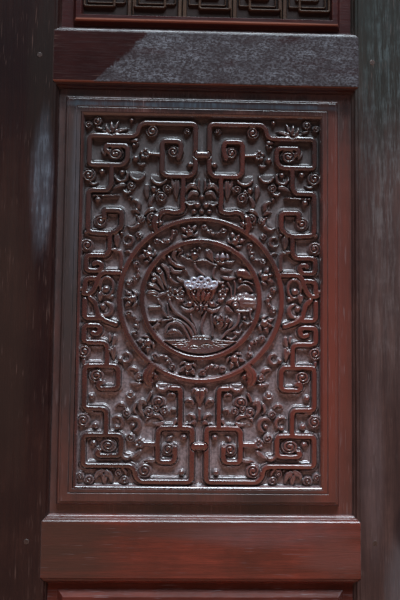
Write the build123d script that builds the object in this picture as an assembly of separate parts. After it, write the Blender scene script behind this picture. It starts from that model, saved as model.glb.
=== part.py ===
from build123d import *
import math
import os

# A carved temple door with its timber frame. The leaf is a six-rail frame-and-panel
# door that turns on wooden pins cut on its hanging stile. It swings inwards, away
# from the carved face. +X is to the right as the carved face is seen, -Y is the
# carved side, +Z is up. The origin is under the middle of the threshold.

# Driving dimensions, in millimetres.

# Frame
FRAME_DEPTH = 130
THRESHOLD_HEIGHT = 120
HEAD_HEIGHT = 100
JAMB_WIDTH = 84
JAMB_TENON = (54, 40)
JAMB_TENON_LENGTH = 50
FRAME_PEG_RADIUS = 6
FRAME_PEG_PAST_TENON = 12
STOP_THICKNESS = 20
STOP_GAP = 2
STOP_EASE = (8, 6)
STOP_PEG_RADIUS = 3
STOP_PEG_BITE = 25
ARRIS = 4

# Leaf, and the clear gaps round it
LEAF_THICKNESS = 48
GAP_SIDE = 3
GAP_BELOW = 4
GAP_ABOVE = 5
OPENING_WIDTH = 466
STILE_FLAT = 112

# Pivot pins, cut on the ends of the hanging stile, and the loose block that closes
# the notch of the upper one
PIN_RADIUS = 17
PIN_LENGTH = 45
PIN_EASE = 3
PIN_CLEARANCE = 0.4
PIN_FOOT_GAP = 0.3
PIN_TOP_GAP = 2
BLOCK_PEG_PLACES = (35, 54)
BLOCK_PEG_BITE = 30

# Rails and openings from the bottom of the leaf to its top
BOTTOM_RAIL = 95
BOTTOM_OPENING = 150
LOWER_RAIL = 80
SKIRT_OPENING = 656
UPPER_RAIL = 78
WAIST_OPENING = 190
WAIST_RAIL = 75
LATTICE_OPENING = 780
LATTICE_RAIL = 75
TOP_OPENING = 150
TOP_RAIL = 80

# Joinery of the leaf
TENON_THICKNESS = 14
TENON_LENGTH = 75
TENON_SHOULDER = 10
PEG_RADIUS = 4
PEG_SIDES = 6
PEG_OUTBOARD = 21
PEG_END = 15
LOWER_RAIL_PEG_RAISE = 11
MOULDING_WIDTH = 10
GROOVE_DEPTH = 16
GROOVE_FRONT = -12
GROOVE_BACK = 0
PANEL_BACK = 8
PANEL_BACK_GAP = 2
PANEL_SHIFT = -5.5
PANEL_SLACK = 5.5
PANEL_HEAD_GAP = 4

# The section of the stuck moulding: distance in from its outer line, and depth
# below the face of the frame
MOULDING_SECTION = [(0, 0), (1.6, 1.6), (4.6, 2.6), (6.8, 7.4), (8.2, 8.2), (10, 12)]

# Raised panels: the field's face stands this far behind the face of the frame
FIELD_BACK = 2
PLAIN_MARGIN_X = 14
PLAIN_MARGIN_Z = 8
PLAIN_BEVEL = 9

# Skirt panel: half sizes of the slope's foot and of the arris at the top of it,
# of the scribed groove, and of the sunk ground
FIELD_RAISE = 1
FOOT = (208.5, 306)
SLOPE = 6
GROOVE_INSET = 12
SCRIBE = 1
SINK_INSET = 19
SINK_SLOPE = 6
SINK_DEPTH = 9.5

# The carving on the sunk ground is laid out from the middle of the two rings,
# which stands this far from the middle of the opening
RING_CENTRE = (-6, -1.5)
RIB_WIDTH = 7.5
RIB_HEIGHT = 8.5
THIN_RIB = 6
BITE = 1
BALL_SIDES = 5
ROSETTE_SIDES = 5
CURL_STEP = 90
OUTER_RING = 121.5
INNER_RING = 87
RING_WIDTH = 7.5
VINE_RADIUS = 104
VINE_SWAY = 5
VINE_WAVES = 9
VINE_STEPS = 27
VINE_BUD = 6

# Waist panel: a plain rectangular fret in five units on a sunk ground
WAIST_MARGIN = (17, 4)
WAIST_SLOPE = 5
WAIST_BORDER = 8
WAIST_SINK_SLOPE = 3
FRET_UNITS = 5
FRET_PITCH = 77.5
FRET_RIB = (7, 8)

# Open lattice: widths and depths of its edge bars and of its thin bars
EDGE_BAR = (18, 22)
LATTICE_BAR = (10, 14)
UPRIGHTS = 7
HOUSING = 5
CROSSBAR_SPACING = 41
CROSSBAR_GROUP_INSET = 110

# Bolt on the back of the latch stile
BOLT_RISE = 1160
BOLT_BAR = (158, 20, 34)
BOLT_TRAVEL = 45
BOLT_INSET = 4
BOLT_PLAY = 0.5
BOLT_EASE = 2
MORTISE_PLAY = 2
MORTISE_END_GAP = 6
KEEPER = (22, 34, 70)
KEEPER_EASE = 8
KEEPER_INSET = 2
KEEPER_PEG_RADIUS = 4
KEEPER_PEG_BITE = 30
HANDLE_RADIUS = 9
HANDLE_LENGTH = 40
# The turned grip: height up the handle and radius, as shares of the two above
HANDLE_TENON = 0.6
HANDLE_PROFILE = [(0, 0.75), (0.45, 0.7), (0.8, 1), (1, 0.7)]
HANDLE_SIDES = 10

# Worked out from the driving dimensions
HALF_DEPTH = FRAME_DEPTH / 2
HALF_LEAF = LEAF_THICKNESS / 2
HALF_OPENING = OPENING_WIDTH / 2
LEAF_HALF_WIDTH = HALF_OPENING + STILE_FLAT
JAMB_FACE = LEAF_HALF_WIDTH + GAP_SIDE
FRAME_HALF_WIDTH = JAMB_FACE + JAMB_WIDTH
PIN_X = -LEAF_HALF_WIDTH + HALF_LEAF
LEAF_BOTTOM = THRESHOLD_HEIGHT + GAP_BELOW
RAIL_NAMES = ["bottom_rail", "lower_rail", "upper_rail", "waist_rail", "lattice_rail", "top_rail"]
RAIL_HEIGHTS = [BOTTOM_RAIL, LOWER_RAIL, UPPER_RAIL, WAIST_RAIL, LATTICE_RAIL, TOP_RAIL]
OPENING_HEIGHTS = [BOTTOM_OPENING, SKIRT_OPENING, WAIST_OPENING, LATTICE_OPENING, TOP_OPENING]

rails = []
openings = []
level = LEAF_BOTTOM
for index, height in enumerate(RAIL_HEIGHTS):
    rails.append((level, level + height))
    level += height
    if index < len(OPENING_HEIGHTS):
        openings.append((level, level + OPENING_HEIGHTS[index]))
        level += OPENING_HEIGHTS[index]
LEAF_TOP = level
HEAD_BOTTOM = LEAF_TOP + GAP_ABOVE
FRAME_TOP = HEAD_BOTTOM + HEAD_HEIGHT
bottom_opening, skirt_opening, waist_opening, lattice_opening, top_opening = openings


def block(x0, x1, y0, y1, z0, z1):
    """A rectangular timber between two corners."""
    size = Box(abs(x1 - x0), abs(y1 - y0), abs(z1 - z0))
    return Pos((x0 + x1) / 2, (y0 + y1) / 2, (z0 + z1) / 2) * size


def peg(start, end, radius):
    """A hand-shaved peg from one point to another, or the hole that it fills."""
    run = Vector(*end) - Vector(*start)
    return extrude(Plane(origin=start, z_dir=run) * RegularPolygon(radius, PEG_SIDES), run.length)


def rod_z(x, y, z0, z1, radius):
    """A round pin or its bore along Z."""
    return Pos(x, y, (z0 + z1) / 2) * Cylinder(radius, abs(z1 - z0))


def prism_y(outline, y0, y1):
    """An outline given in X and Z, carried through the depth from y0 to y1."""
    face = make_face(Polyline(*[(x, y0, z) for x, z in outline], close=True))
    return extrude(face, amount=y1 - y0, dir=(0, 1, 0))


def stack(rings):
    """A solid between outlines of as many points each, from the lowest to the highest."""
    faces = [Face(Wire.make_polygon(rings[0])), Face(Wire.make_polygon(rings[-1]))]
    for low, high in zip(rings, rings[1:]):
        for i in range(len(low)):
            j = (i + 1) % len(low)
            faces.append(Face(Wire.make_polygon([low[i], low[j], high[j], high[i]])))
    return Solid(Shell(faces))


def one_solid(shape):
    """The single solid of a shape, and a plain error where it fell apart."""
    solids = shape.solids()
    if len(solids) != 1:
        raise ValueError(f"{len(solids)} solids where one was meant")
    return solids[0]


os.makedirs("parts", exist_ok=True)
nodes = {}


# Frame: threshold, jambs, head and the loose pivot block


def jamb_tenon(side, z0, z1):
    """The tenon of a jamb, which is also the shape of its mortise."""
    middle = side * (JAMB_FACE + JAMB_WIDTH / 2)
    width, depth = JAMB_TENON
    return block(middle - width / 2, middle + width / 2, -depth / 2, depth / 2, z0, z1)


foot_tenon_z = (THRESHOLD_HEIGHT - JAMB_TENON_LENGTH, THRESHOLD_HEIGHT)
head_tenon_z = (HEAD_BOTTOM, HEAD_BOTTOM + JAMB_TENON_LENGTH)
frame_peg_levels = [sum(foot_tenon_z) / 2, sum(head_tenon_z) / 2]
frame_peg_end = JAMB_TENON[1] / 2 + FRAME_PEG_PAST_TENON
jamb_middle = JAMB_FACE + JAMB_WIDTH / 2
frame_pegs = [
    peg((x, -HALF_DEPTH, z), (x, frame_peg_end, z), FRAME_PEG_RADIUS)
    for x in (-jamb_middle, jamb_middle)
    for z in frame_peg_levels
]

threshold = block(
    -FRAME_HALF_WIDTH, FRAME_HALF_WIDTH, -HALF_DEPTH, HALF_DEPTH, 0, THRESHOLD_HEIGHT
)
bore_radius = PIN_RADIUS + PIN_CLEARANCE
lower_bore_floor = LEAF_BOTTOM - PIN_LENGTH - PIN_FOOT_GAP
threshold -= rod_z(PIN_X, 0, lower_bore_floor, THRESHOLD_HEIGHT, bore_radius)

head = block(
    -FRAME_HALF_WIDTH, FRAME_HALF_WIDTH, -HALF_DEPTH, HALF_DEPTH, HEAD_BOTTOM, FRAME_TOP
)
notch_top = LEAF_TOP + PIN_LENGTH + PIN_TOP_GAP
upper_bore = rod_z(PIN_X, 0, HEAD_BOTTOM, notch_top, bore_radius)
slot = block(PIN_X - bore_radius, PIN_X + bore_radius, 0, HALF_DEPTH, HEAD_BOTTOM, notch_top)
head -= upper_bore + slot
pivot_block = slot - upper_bore
block_peg_top = notch_top + BLOCK_PEG_BITE
pivot_block_pegs = [
    peg((PIN_X, y, HEAD_BOTTOM), (PIN_X, y, block_peg_top), PEG_RADIUS) for y in BLOCK_PEG_PLACES
]
for pin in pivot_block_pegs:
    head -= pin
    pivot_block -= pin

for side in (-1, 1):
    threshold -= jamb_tenon(side, *foot_tenon_z)
    head -= jamb_tenon(side, *head_tenon_z)
for pin in frame_pegs:
    threshold -= pin
    head -= pin

# Stops, planted on the front of the jambs and under the front of the head
stop_back = -HALF_LEAF - STOP_GAP
stop_edge = JAMB_FACE - STOP_THICKNESS
stop_head_z = (HEAD_BOTTOM - STOP_THICKNESS, HEAD_BOTTOM)
stop_middle_y = (-HALF_DEPTH + stop_back) / 2
side_stop_pegs = 3
side_stop_run = HEAD_BOTTOM - THRESHOLD_HEIGHT
side_peg_levels = [
    THRESHOLD_HEIGHT + side_stop_run * (i + 0.5) / side_stop_pegs for i in range(side_stop_pegs)
]
stop_peg_end = JAMB_FACE + STOP_PEG_BITE
stop_pegs = []
for side in (-1, 1):
    for z in side_peg_levels:
        start = (side * stop_edge, stop_middle_y, z)
        end = (side * stop_peg_end, stop_middle_y, z)
        stop_pegs.append(peg(start, end, STOP_PEG_RADIUS))
stop_peg_top = HEAD_BOTTOM + STOP_PEG_BITE
stop_pegs += [
    peg((x, stop_middle_y, stop_head_z[0]), (x, stop_middle_y, stop_peg_top), STOP_PEG_RADIUS)
    for x in (-HALF_OPENING, HALF_OPENING)
]


def stop_section(edge, inward):
    """The section of a stop: a flat strip with its inner front edge eased off."""
    ease_back, ease_across = STOP_EASE
    return [
        (edge, stop_back),
        (edge + inward * STOP_THICKNESS, stop_back),
        (edge + inward * STOP_THICKNESS, -HALF_DEPTH + ease_back),
        (edge + inward * (STOP_THICKNESS - ease_across), -HALF_DEPTH),
        (edge, -HALF_DEPTH),
    ]


def side_stop(side):
    """A stop on a jamb, as high as the opening of the frame."""
    section = stop_section(side * JAMB_FACE, -side)
    face = make_face(Polyline(*[(x, y, THRESHOLD_HEIGHT) for x, y in section], close=True))
    return extrude(face, amount=side_stop_run, dir=(0, 0, 1))


def head_stop():
    """The stop under the head, fitted between the two side stops."""
    section = stop_section(HEAD_BOTTOM, -1)
    face = make_face(Polyline(*[(-stop_edge, y, z) for z, y in section], close=True))
    return extrude(face, amount=2 * stop_edge, dir=(1, 0, 0))


# The bolt's parts come first, because the latch jamb has its mortise
bolt_length, bolt_thickness, bolt_height = BOLT_BAR
bolt_z = LEAF_BOTTOM + BOLT_RISE
bolt_end = LEAF_HALF_WIDTH - BOLT_INSET
bolt_y = (HALF_LEAF + BOLT_PLAY, HALF_LEAF + BOLT_PLAY + bolt_thickness)
bolt_bar = block(
    bolt_end - bolt_length, bolt_end, *bolt_y, bolt_z - bolt_height / 2, bolt_z + bolt_height / 2
)
bolt_bar = chamfer(bolt_bar.faces().sort_by(Axis.X)[-1].edges(), BOLT_EASE)
mortise_depth = BOLT_TRAVEL - BOLT_INSET - GAP_SIDE + MORTISE_END_GAP
bolt_mortise = block(
    JAMB_FACE,
    JAMB_FACE + mortise_depth,
    bolt_y[0] - MORTISE_PLAY,
    bolt_y[1] + MORTISE_PLAY,
    bolt_z - bolt_height / 2 - MORTISE_PLAY,
    bolt_z + bolt_height / 2 + MORTISE_PLAY,
)


def jamb(side):
    """A jamb with its two tenons, drilled for the pegs of its joints and its stop."""
    inner = side * JAMB_FACE
    outer = side * FRAME_HALF_WIDTH
    post = block(inner, outer, -HALF_DEPTH, HALF_DEPTH, THRESHOLD_HEIGHT, HEAD_BOTTOM)
    post += jamb_tenon(side, *foot_tenon_z)
    post += jamb_tenon(side, *head_tenon_z)
    for pin in frame_pegs + stop_pegs:
        post -= pin
    return post


side_stops = {side: side_stop(side) for side in (-1, 1)}
stop_head = head_stop()
for pin in stop_pegs:
    side_stops[-1] -= pin
    side_stops[1] -= pin
    stop_head -= pin
    head -= pin



def arris(y, z, back, fall):
    """The wood planed off a long edge of the threshold or the head, between the jambs."""
    corner = [(y, z), (y + back, z), (y, z + fall)]
    face = make_face(Polyline(*[(-JAMB_FACE, a, b) for a, b in corner], close=True))
    return extrude(face, amount=2 * JAMB_FACE, dir=(1, 0, 0))


threshold -= arris(-HALF_DEPTH, THRESHOLD_HEIGHT, ARRIS, -ARRIS)
threshold -= arris(HALF_DEPTH, THRESHOLD_HEIGHT, -ARRIS, -ARRIS)
head -= arris(HALF_DEPTH, HEAD_BOTTOM, -ARRIS, ARRIS)

nodes["threshold"] = threshold
nodes["head"] = head
nodes["jamb_hinge_side"] = jamb(-1)
nodes["jamb_latch_side"] = jamb(1) - bolt_mortise
nodes["pivot_block"] = pivot_block
nodes["pivot_block_pegs"] = pivot_block_pegs
nodes["frame_pegs"] = frame_pegs
nodes["stop_hinge_side"] = side_stops[-1]
nodes["stop_latch_side"] = side_stops[1]
nodes["stop_head"] = stop_head
nodes["stop_pegs"] = stop_pegs


# Leaf: stiles and rails, with the moulding cut on their inner edges and mitred


def edge_section(edge, inward):
    """The moulded edge of a stile or rail as points (across, depth), from the face in."""
    return [(edge + inward * d, -HALF_LEAF + depth) for d, depth in MOULDING_SECTION]


def peg_level(index):
    """The height of the draw pegs of a rail."""
    z0, z1 = rails[index]
    raise_by = LOWER_RAIL_PEG_RAISE if RAIL_NAMES[index] == "lower_rail" else 0
    return (z0 + z1) / 2 + raise_by


peg_x = HALF_OPENING + PEG_OUTBOARD
leaf_pegs = [
    peg((x, -HALF_LEAF, peg_level(i)), (x, PEG_END, peg_level(i)), PEG_RADIUS)
    for x in (-peg_x, peg_x)
    for i in range(len(rails))
]


def tenon(side, index):
    """The tenon at one end of a rail, which is also its mortise in the stile."""
    z0, z1 = rails[index]
    return block(
        side * HALF_OPENING,
        side * (HALF_OPENING + TENON_LENGTH),
        -TENON_THICKNESS / 2,
        TENON_THICKNESS / 2,
        z0 + TENON_SHOULDER,
        z1 - TENON_SHOULDER,
    )


def rail(index):
    """A rail with moulded edges towards its openings, mitred ends and two tenons."""
    z0, z1 = rails[index]
    has_below = index > 0
    has_above = index < len(rails) - 1
    section = []
    if has_below:
        section += [(z, y) for z, y in edge_section(z0, -1)]
        section += [(z0 - MOULDING_WIDTH, HALF_LEAF)]
    else:
        section += [(z0, -HALF_LEAF), (z0, HALF_LEAF)]
    if has_above:
        section += [(z1 + MOULDING_WIDTH, HALF_LEAF)]
        section += [(z, y) for z, y in reversed(edge_section(z1, 1))]
    else:
        section += [(z1, HALF_LEAF), (z1, -HALF_LEAF)]
    face = make_face(Polyline(*[(-HALF_OPENING, y, z) for z, y in section], close=True))
    body = extrude(face, amount=OPENING_WIDTH, dir=(1, 0, 0))
    inner = HALF_OPENING - MOULDING_WIDTH
    outline = [(-HALF_OPENING, z0)]
    if has_below:
        outline += [(-inner, z0 - MOULDING_WIDTH), (inner, z0 - MOULDING_WIDTH)]
    outline += [(HALF_OPENING, z0), (HALF_OPENING, z1)]
    if has_above:
        outline += [(inner, z1 + MOULDING_WIDTH), (-inner, z1 + MOULDING_WIDTH)]
    outline += [(-HALF_OPENING, z1)]
    body &= prism_y(outline, -HALF_LEAF, HALF_LEAF)
    reach = GROOVE_DEPTH - MOULDING_WIDTH
    if has_below and openings[index - 1] != lattice_opening:
        body -= block(
            -HALF_OPENING, HALF_OPENING, GROOVE_FRONT, GROOVE_BACK, z0 - MOULDING_WIDTH, z0 + reach
        )
    if has_above and openings[index] != lattice_opening:
        body -= block(
            -HALF_OPENING, HALF_OPENING, GROOVE_FRONT, GROOVE_BACK, z1 - reach, z1 + MOULDING_WIDTH
        )
    body += tenon(-1, index) + tenon(1, index)
    for pin in leaf_pegs:
        body -= pin
    return body


def stile(side):
    """A stile: its moulded inner edge is mitred round each opening, between the rails."""
    section = edge_section(side * HALF_OPENING, -side)
    section += [(side * (HALF_OPENING - MOULDING_WIDTH), HALF_LEAF)]
    if side < 0:
        arc_end = (PIN_X, HALF_LEAF)
        arc_start = (PIN_X, -HALF_LEAF)
        outline = Polyline(*[(x, y, LEAF_BOTTOM) for x, y in [arc_start] + section + [arc_end]])
        arc = ThreePointArc(
            (PIN_X, HALF_LEAF, LEAF_BOTTOM),
            (PIN_X - HALF_LEAF, 0, LEAF_BOTTOM),
            (PIN_X, -HALF_LEAF, LEAF_BOTTOM),
        )
        face = make_face(outline.edges() + arc.edges())
    else:
        section += [(LEAF_HALF_WIDTH, HALF_LEAF), (LEAF_HALF_WIDTH, -HALF_LEAF)]
        face = make_face(Polyline(*[(x, y, LEAF_BOTTOM) for x, y in section], close=True))
    body = extrude(face, amount=LEAF_TOP - LEAF_BOTTOM, dir=(0, 0, 1))
    outline = [(side * LEAF_HALF_WIDTH, LEAF_BOTTOM), (side * HALF_OPENING, LEAF_BOTTOM)]
    inner = side * (HALF_OPENING - MOULDING_WIDTH)
    for z0, z1 in openings:
        outline += [(side * HALF_OPENING, z0), (inner, z0 + MOULDING_WIDTH)]
        outline += [(inner, z1 - MOULDING_WIDTH), (side * HALF_OPENING, z1)]
    outline += [(side * HALF_OPENING, LEAF_TOP), (side * LEAF_HALF_WIDTH, LEAF_TOP)]
    body &= prism_y(outline, -HALF_LEAF, HALF_LEAF)
    reach = GROOVE_DEPTH - MOULDING_WIDTH
    for z0, z1 in openings:
        if (z0, z1) != lattice_opening:
            groove_edge = side * (HALF_OPENING + reach)
            body -= block(inner, groove_edge, GROOVE_FRONT, GROOVE_BACK, z0 - reach, z1 + reach)
    for index in range(len(rails)):
        body -= tenon(side, index)
    for pin in leaf_pegs:
        body -= pin
    return body


def pivot_pin(z0, z1, tip):
    """A round pin on the end of the hanging stile, with its tip eased."""
    pin = rod_z(PIN_X, 0, z0, z1, PIN_RADIUS)
    return chamfer(pin.edges().sort_by(Axis.Z)[tip], PIN_EASE)


hanging_stile = stile(-1)
hanging_stile += pivot_pin(LEAF_BOTTOM - PIN_LENGTH, LEAF_BOTTOM, 0)
hanging_stile += pivot_pin(LEAF_TOP, LEAF_TOP + PIN_LENGTH, -1)
latch_stile = stile(1)

keeper_thickness, keeper_depth, keeper_height = KEEPER
outer_keeper_x = bolt_end - KEEPER_INSET - keeper_thickness / 2
handle_x = outer_keeper_x - keeper_thickness / 2 - BOLT_TRAVEL - HANDLE_RADIUS - BOLT_PLAY
inner_keeper_x = handle_x - HANDLE_RADIUS - BOLT_PLAY - keeper_thickness / 2
keeper_peg_reach = HALF_LEAF - KEEPER_PEG_BITE
keeper_foot = (keeper_height - bolt_height) / 4 + bolt_height / 2


def keeper(x):
    """A wooden bridge over the bolt bar, pegged to the stile by its two feet."""
    bridge = block(
        x - keeper_thickness / 2,
        x + keeper_thickness / 2,
        HALF_LEAF,
        HALF_LEAF + keeper_depth,
        bolt_z - keeper_height / 2,
        bolt_z + keeper_height / 2,
    )
    bridge = chamfer(bridge.edges().filter_by(Axis.X).group_by(Axis.Y)[-1], KEEPER_EASE)
    way = block(
        x - keeper_thickness,
        x + keeper_thickness,
        HALF_LEAF,
        bolt_y[1] + BOLT_PLAY,
        bolt_z - bolt_height / 2 - BOLT_PLAY,
        bolt_z + bolt_height / 2 + BOLT_PLAY,
    )
    return bridge - way


keeper_peg_top = HALF_LEAF + keeper_depth
keeper_pegs = [
    peg((x, keeper_peg_reach, bolt_z + rise), (x, keeper_peg_top, bolt_z + rise), KEEPER_PEG_RADIUS)
    for x in (inner_keeper_x, outer_keeper_x)
    for rise in (-keeper_foot, keeper_foot)
]
keepers = {"keeper_inner": keeper(inner_keeper_x), "keeper_outer": keeper(outer_keeper_x)}
for pin in keeper_pegs:
    latch_stile -= pin
    for name in keepers:
        keepers[name] -= pin



def handle_ring(y, radius):
    """An outline round the handle's axis, as a lathe leaves it but with a few flats."""
    turns = [2 * math.pi * i / HANDLE_SIDES for i in range(HANDLE_SIDES)]
    return [(handle_x + radius * math.cos(t), y, bolt_z + radius * math.sin(t)) for t in turns]


tenon_radius = HANDLE_RADIUS * HANDLE_TENON
handle_tenon = stack([handle_ring(bolt_y[0], tenon_radius), handle_ring(bolt_y[1], tenon_radius)])
bolt_bar -= handle_tenon
grip = stack([
    handle_ring(bolt_y[1] + HANDLE_LENGTH * along, HANDLE_RADIUS * share)
    for along, share in HANDLE_PROFILE
])
bolt_handle = handle_tenon + grip

nodes["hanging_stile"] = hanging_stile
nodes["latch_stile"] = latch_stile
for index, name in enumerate(RAIL_NAMES):
    nodes[name] = rail(index)
nodes["leaf_pegs"] = leaf_pegs
nodes.update(keepers)
nodes["keeper_pegs"] = keeper_pegs
nodes["bolt_bar"] = bolt_bar
nodes["bolt_handle"] = bolt_handle


# Raised panels. Each is one board whose thin edge floats in the grooves.


def rectangle(x, z, half_x, half_z, y):
    """The corners of an upright rectangle about a middle point, at one depth."""
    corners = ((-1, -1), (1, -1), (1, 1), (-1, 1))
    return [(x + i * half_x, y, z + k * half_z) for i, k in corners]


def board(opening, margin_x, margin_z, slope, shift, raise_by):
    """A raised panel: a thin edge all round, a slope, and a flat field."""
    z0, z1 = opening
    middle = (z0 + z1) / 2
    inner_x = HALF_OPENING - MOULDING_WIDTH
    inner_z = (z1 - z0) / 2 - MOULDING_WIDTH
    edge_x = inner_x + GROOVE_DEPTH - PANEL_SLACK
    low = z0 + MOULDING_WIDTH - GROOVE_DEPTH
    high = z1 - MOULDING_WIDTH + GROOVE_DEPTH - PANEL_HEAD_GAP
    sheet = block(shift - edge_x, shift + edge_x, GROOVE_FRONT, GROOVE_BACK, low, high)
    back_x = inner_x - PANEL_BACK_GAP
    back_z = inner_z - PANEL_BACK_GAP
    back = block(-back_x, back_x, GROOVE_BACK, PANEL_BACK, middle - back_z, middle + back_z)
    foot_x = inner_x - margin_x
    foot_z = inner_z - margin_z
    face = -HALF_LEAF + FIELD_BACK
    field = stack([
        rectangle(shift, middle + raise_by, foot_x, foot_z, GROOVE_FRONT),
        rectangle(shift, middle + raise_by, foot_x - slope, foot_z - slope, face),
    ])
    return sheet + back + field


nodes["bottom_panel"] = board(bottom_opening, PLAIN_MARGIN_X, PLAIN_MARGIN_Z, PLAIN_BEVEL, 0, 0)
nodes["top_panel"] = board(top_opening, PLAIN_MARGIN_X, PLAIN_MARGIN_Z, PLAIN_BEVEL, 0, 0)


# Carving. It is laid out flat, in u to the right and v up from the middle of the
# rings, with its height above the sunk ground, and then set on its panel.


def rib(points, width=RIB_WIDTH, height=RIB_HEIGHT):
    """A rib with mitred corners along a line of points: flat-topped, or a ridge if thin."""
    path = Polyline(*[(u, v, 0) for u, v in points])
    half = width / 2
    top = [(0, height)] if width < THIN_RIB else [(-half * 0.5, height), (half * 0.5, height)]
    section = [(-half, -BITE), *top, (half, -BITE)]
    start = Plane(origin=path @ 0, x_dir=Vector(0, 0, 1).cross(path % 0), z_dir=path % 0)
    face = start * make_face(Polyline(*section, close=True))
    return sweep(face, path=path, transition=Transition.RIGHT)


def swell(points, height, shrink=0.5):
    """A low swelling form on an outline, drawn in towards its middle at the top."""
    middle_u = sum(u for u, v in points) / len(points)
    middle_v = sum(v for u, v in points) / len(points)
    rings = []
    for share, level in ((1, -BITE), (shrink, height)):
        rings.append([
            (middle_u + (u - middle_u) * share, middle_v + (v - middle_v) * share, level)
            for u, v in points
        ])
    return stack(rings)


def round_outline(u, v, radius, sides):
    """A regular outline with a few sides, which stands for a round."""
    turns = [2 * math.pi * i / sides for i in range(sides)]
    return [(u + radius * math.cos(turn), v + radius * math.sin(turn)) for turn in turns]


def ball(u, v, radius, height=RIB_HEIGHT):
    """A small round boss."""
    return swell(round_outline(u, v, radius, BALL_SIDES), height, 0.55)


def rosette(u, v, radius, height=RIB_HEIGHT):
    """A blossom: a low rim that rises to a boss in its middle."""
    rings = []
    for share, level in ((1, -BITE), (0.55, height * 0.65), (0.3, height)):
        outline = round_outline(u, v, radius * share, ROSETTE_SIDES)
        rings.append([(a, b, level) for a, b in outline])
    return stack(rings)


def peak(points, u, v, height):
    """A form that rises from an outline to a point."""
    foot = [(a, b, -BITE) for a, b in points]
    faces = [Face(Wire.make_polygon(foot))]
    for i in range(len(foot)):
        faces.append(Face(Wire.make_polygon([foot[i], foot[(i + 1) % len(foot)], (u, v, height)])))
    return Solid(Shell(faces))


def leaf(u, v, length, width, turn, height=RIB_HEIGHT * 0.85):
    """A pointed leaf about a middle point, turned from the upright by an angle."""
    cos, sin = math.cos(math.radians(turn)), math.sin(math.radians(turn))
    outline = []
    for across, along in ((0, 0.5), (0.46, 0.05), (0.26, -0.42), (-0.26, -0.42), (-0.46, 0.05)):
        a, b = across * width, along * length
        outline.append((u + a * cos - b * sin, v + a * sin + b * cos))
    return peak(outline, u, v, height)


def curl(u, v, radius, start, sweep_angle, width=5, height=RIB_HEIGHT * 0.9):
    """A short curved rib, part of a circle given by its start and its turn."""
    steps = max(2, round(abs(sweep_angle) / CURL_STEP))
    turns = [math.radians(start + sweep_angle * i / steps) for i in range(steps + 1)]
    return rib([(u + radius * math.cos(a), v + radius * math.sin(a)) for a in turns], width, height)


# The fret's ribs on the right-hand half, each one line. The left half mirrors them.
FRET = {
    "upper_spiral": [
        (39, 216), (33, 221), (33, 240.5), (61, 240.5), (61, 199), (50, 187), (20, 187), (10.5, 196),
        (10.5, 261), (17, 267.5), (88, 267.5), (103, 247), (166, 247), (171, 242), (171, 202),
        (125, 202), (113.5, 211), (113.5, 232), (142, 232),
    ],
    "upper_hanger": [(29, 184), (29, 158), (27, 133), (58, 133), (65, 124), (65.5, 108)],
    "upper_hook": [(48, 184), (55, 175), (70, 174), (79, 183), (76, 196)],
    "shoulder_spiral": [
        (137, 199), (137, 163), (170.5, 163), (170.5, 98.5), (137, 98.5), (120.5, 106),
        (120.5, 133), (145, 133),
    ],
    "flank_upper": [
        (137.5, 95), (137.5, 64), (172, 64), (172, 41), (149, 41), (148.5, 50),
    ],
    "ring_strap_upper": [(130, 73), (121, 72), (120, 48)],
    "side_outer": [(124, 38), (145, 38.5), (153, 30), (158, 15), (167, 5.5), (176, 8)],
    "side_step": [(156, 29), (174, 29), (176, 14)],
    "side_loop": [(144, 35), (134, 28), (131, 14), (140, 4)],
    "side_lower": [(165, 0), (157, -6), (152, -25), (143, -33), (126, -39)],
    "side_lower_step": [(173, -3), (173, -28), (156, -30)],
    "flank_lower": [
        (154, -54), (149, -47), (154, -41.5), (173, -41.5), (173, -66), (138, -66), (138, -97),
    ],
    "shoulder_lower": [
        (150, -134), (121, -134), (121, -100.5), (170.5, -100.5), (170.5, -164), (137.5, -164),
        (137.5, -199),
    ],
    "lower_spiral": [
        (149, -232), (115, -232), (115, -202), (170.5, -202), (170.5, -242), (165, -246.5),
        (103, -246.5), (93, -256), (86, -269.5), (18, -269.5),
        (10.5, -262), (10.5, -197), (18, -189.5), (50, -189.5), (61, -199), (61, -241.5),
        (35.5, -241.5), (35.5, -218),
    ],
    "lower_hanger": [(44, -134), (28.5, -134), (28.5, -187)],
}

# Ties and crescents that join the fret to the rings and to itself
TIES = [
    [(61, 219), (83, 220)],
    [(61, -217), (84, -216)],
    [(118, 170), (134, 166)],
    [(62, 136), (72, 108)],
    [(62, -125), (72, -100)],
]
CURLS = [
    (45, 225, 9, 140, -270), (132, 220, 9, 30, -270), (99, 192, 12, 200, 170), (124, 186, 8, 120, -220),
    (152, 117, 9, 60, -260), (103, 138, 11, 60, 250), (105, 115, 9, 150, 240),
    (110, 88, 8, 30, 250), (110, -87, 8, 20, 260), (103, -115, 11, 60, 240), (103, -136, 8, 20, 240),
    (117, -163, 7, 20, 250), (97, -186, 12, 150, 250), (123, -186, 9, 60, -240), (46, -221, 9, 180, 260),
    (134, -217, 10, 340, -270), (104, -228, 9, 200, 220), (65, -184, 12, 20, 140), (18, -158, 8, 10, 160),
    (120, -257, 7, 60, 240),
]
BALLS = [
    (24, 256, 6), (86, 221, 6), (101, 214, 5), (53, 165, 5), (72, 168, 5), (70, 116, 6),
    (156, 149, 5), (159, -146, 5), (153, -188, 5), (151, -217, 5), (103, -210, 6), (88, -215, 6),
    (109, -268, 5), (173, 264, 6), (174, -262, 6),
]
ROSETTES = [
    (76, 256, 10), (171, 185, 10), (160, 268, 8), (61, 155, 9), (75, 122, 8), (171, 80, 10),
    (172, -80, 10), (154, -115, 9), (172, -183, 10), (80, -254, 10), (161, -267, 8), (62, -153, 9),
    (78, -117, 8),
]
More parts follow.
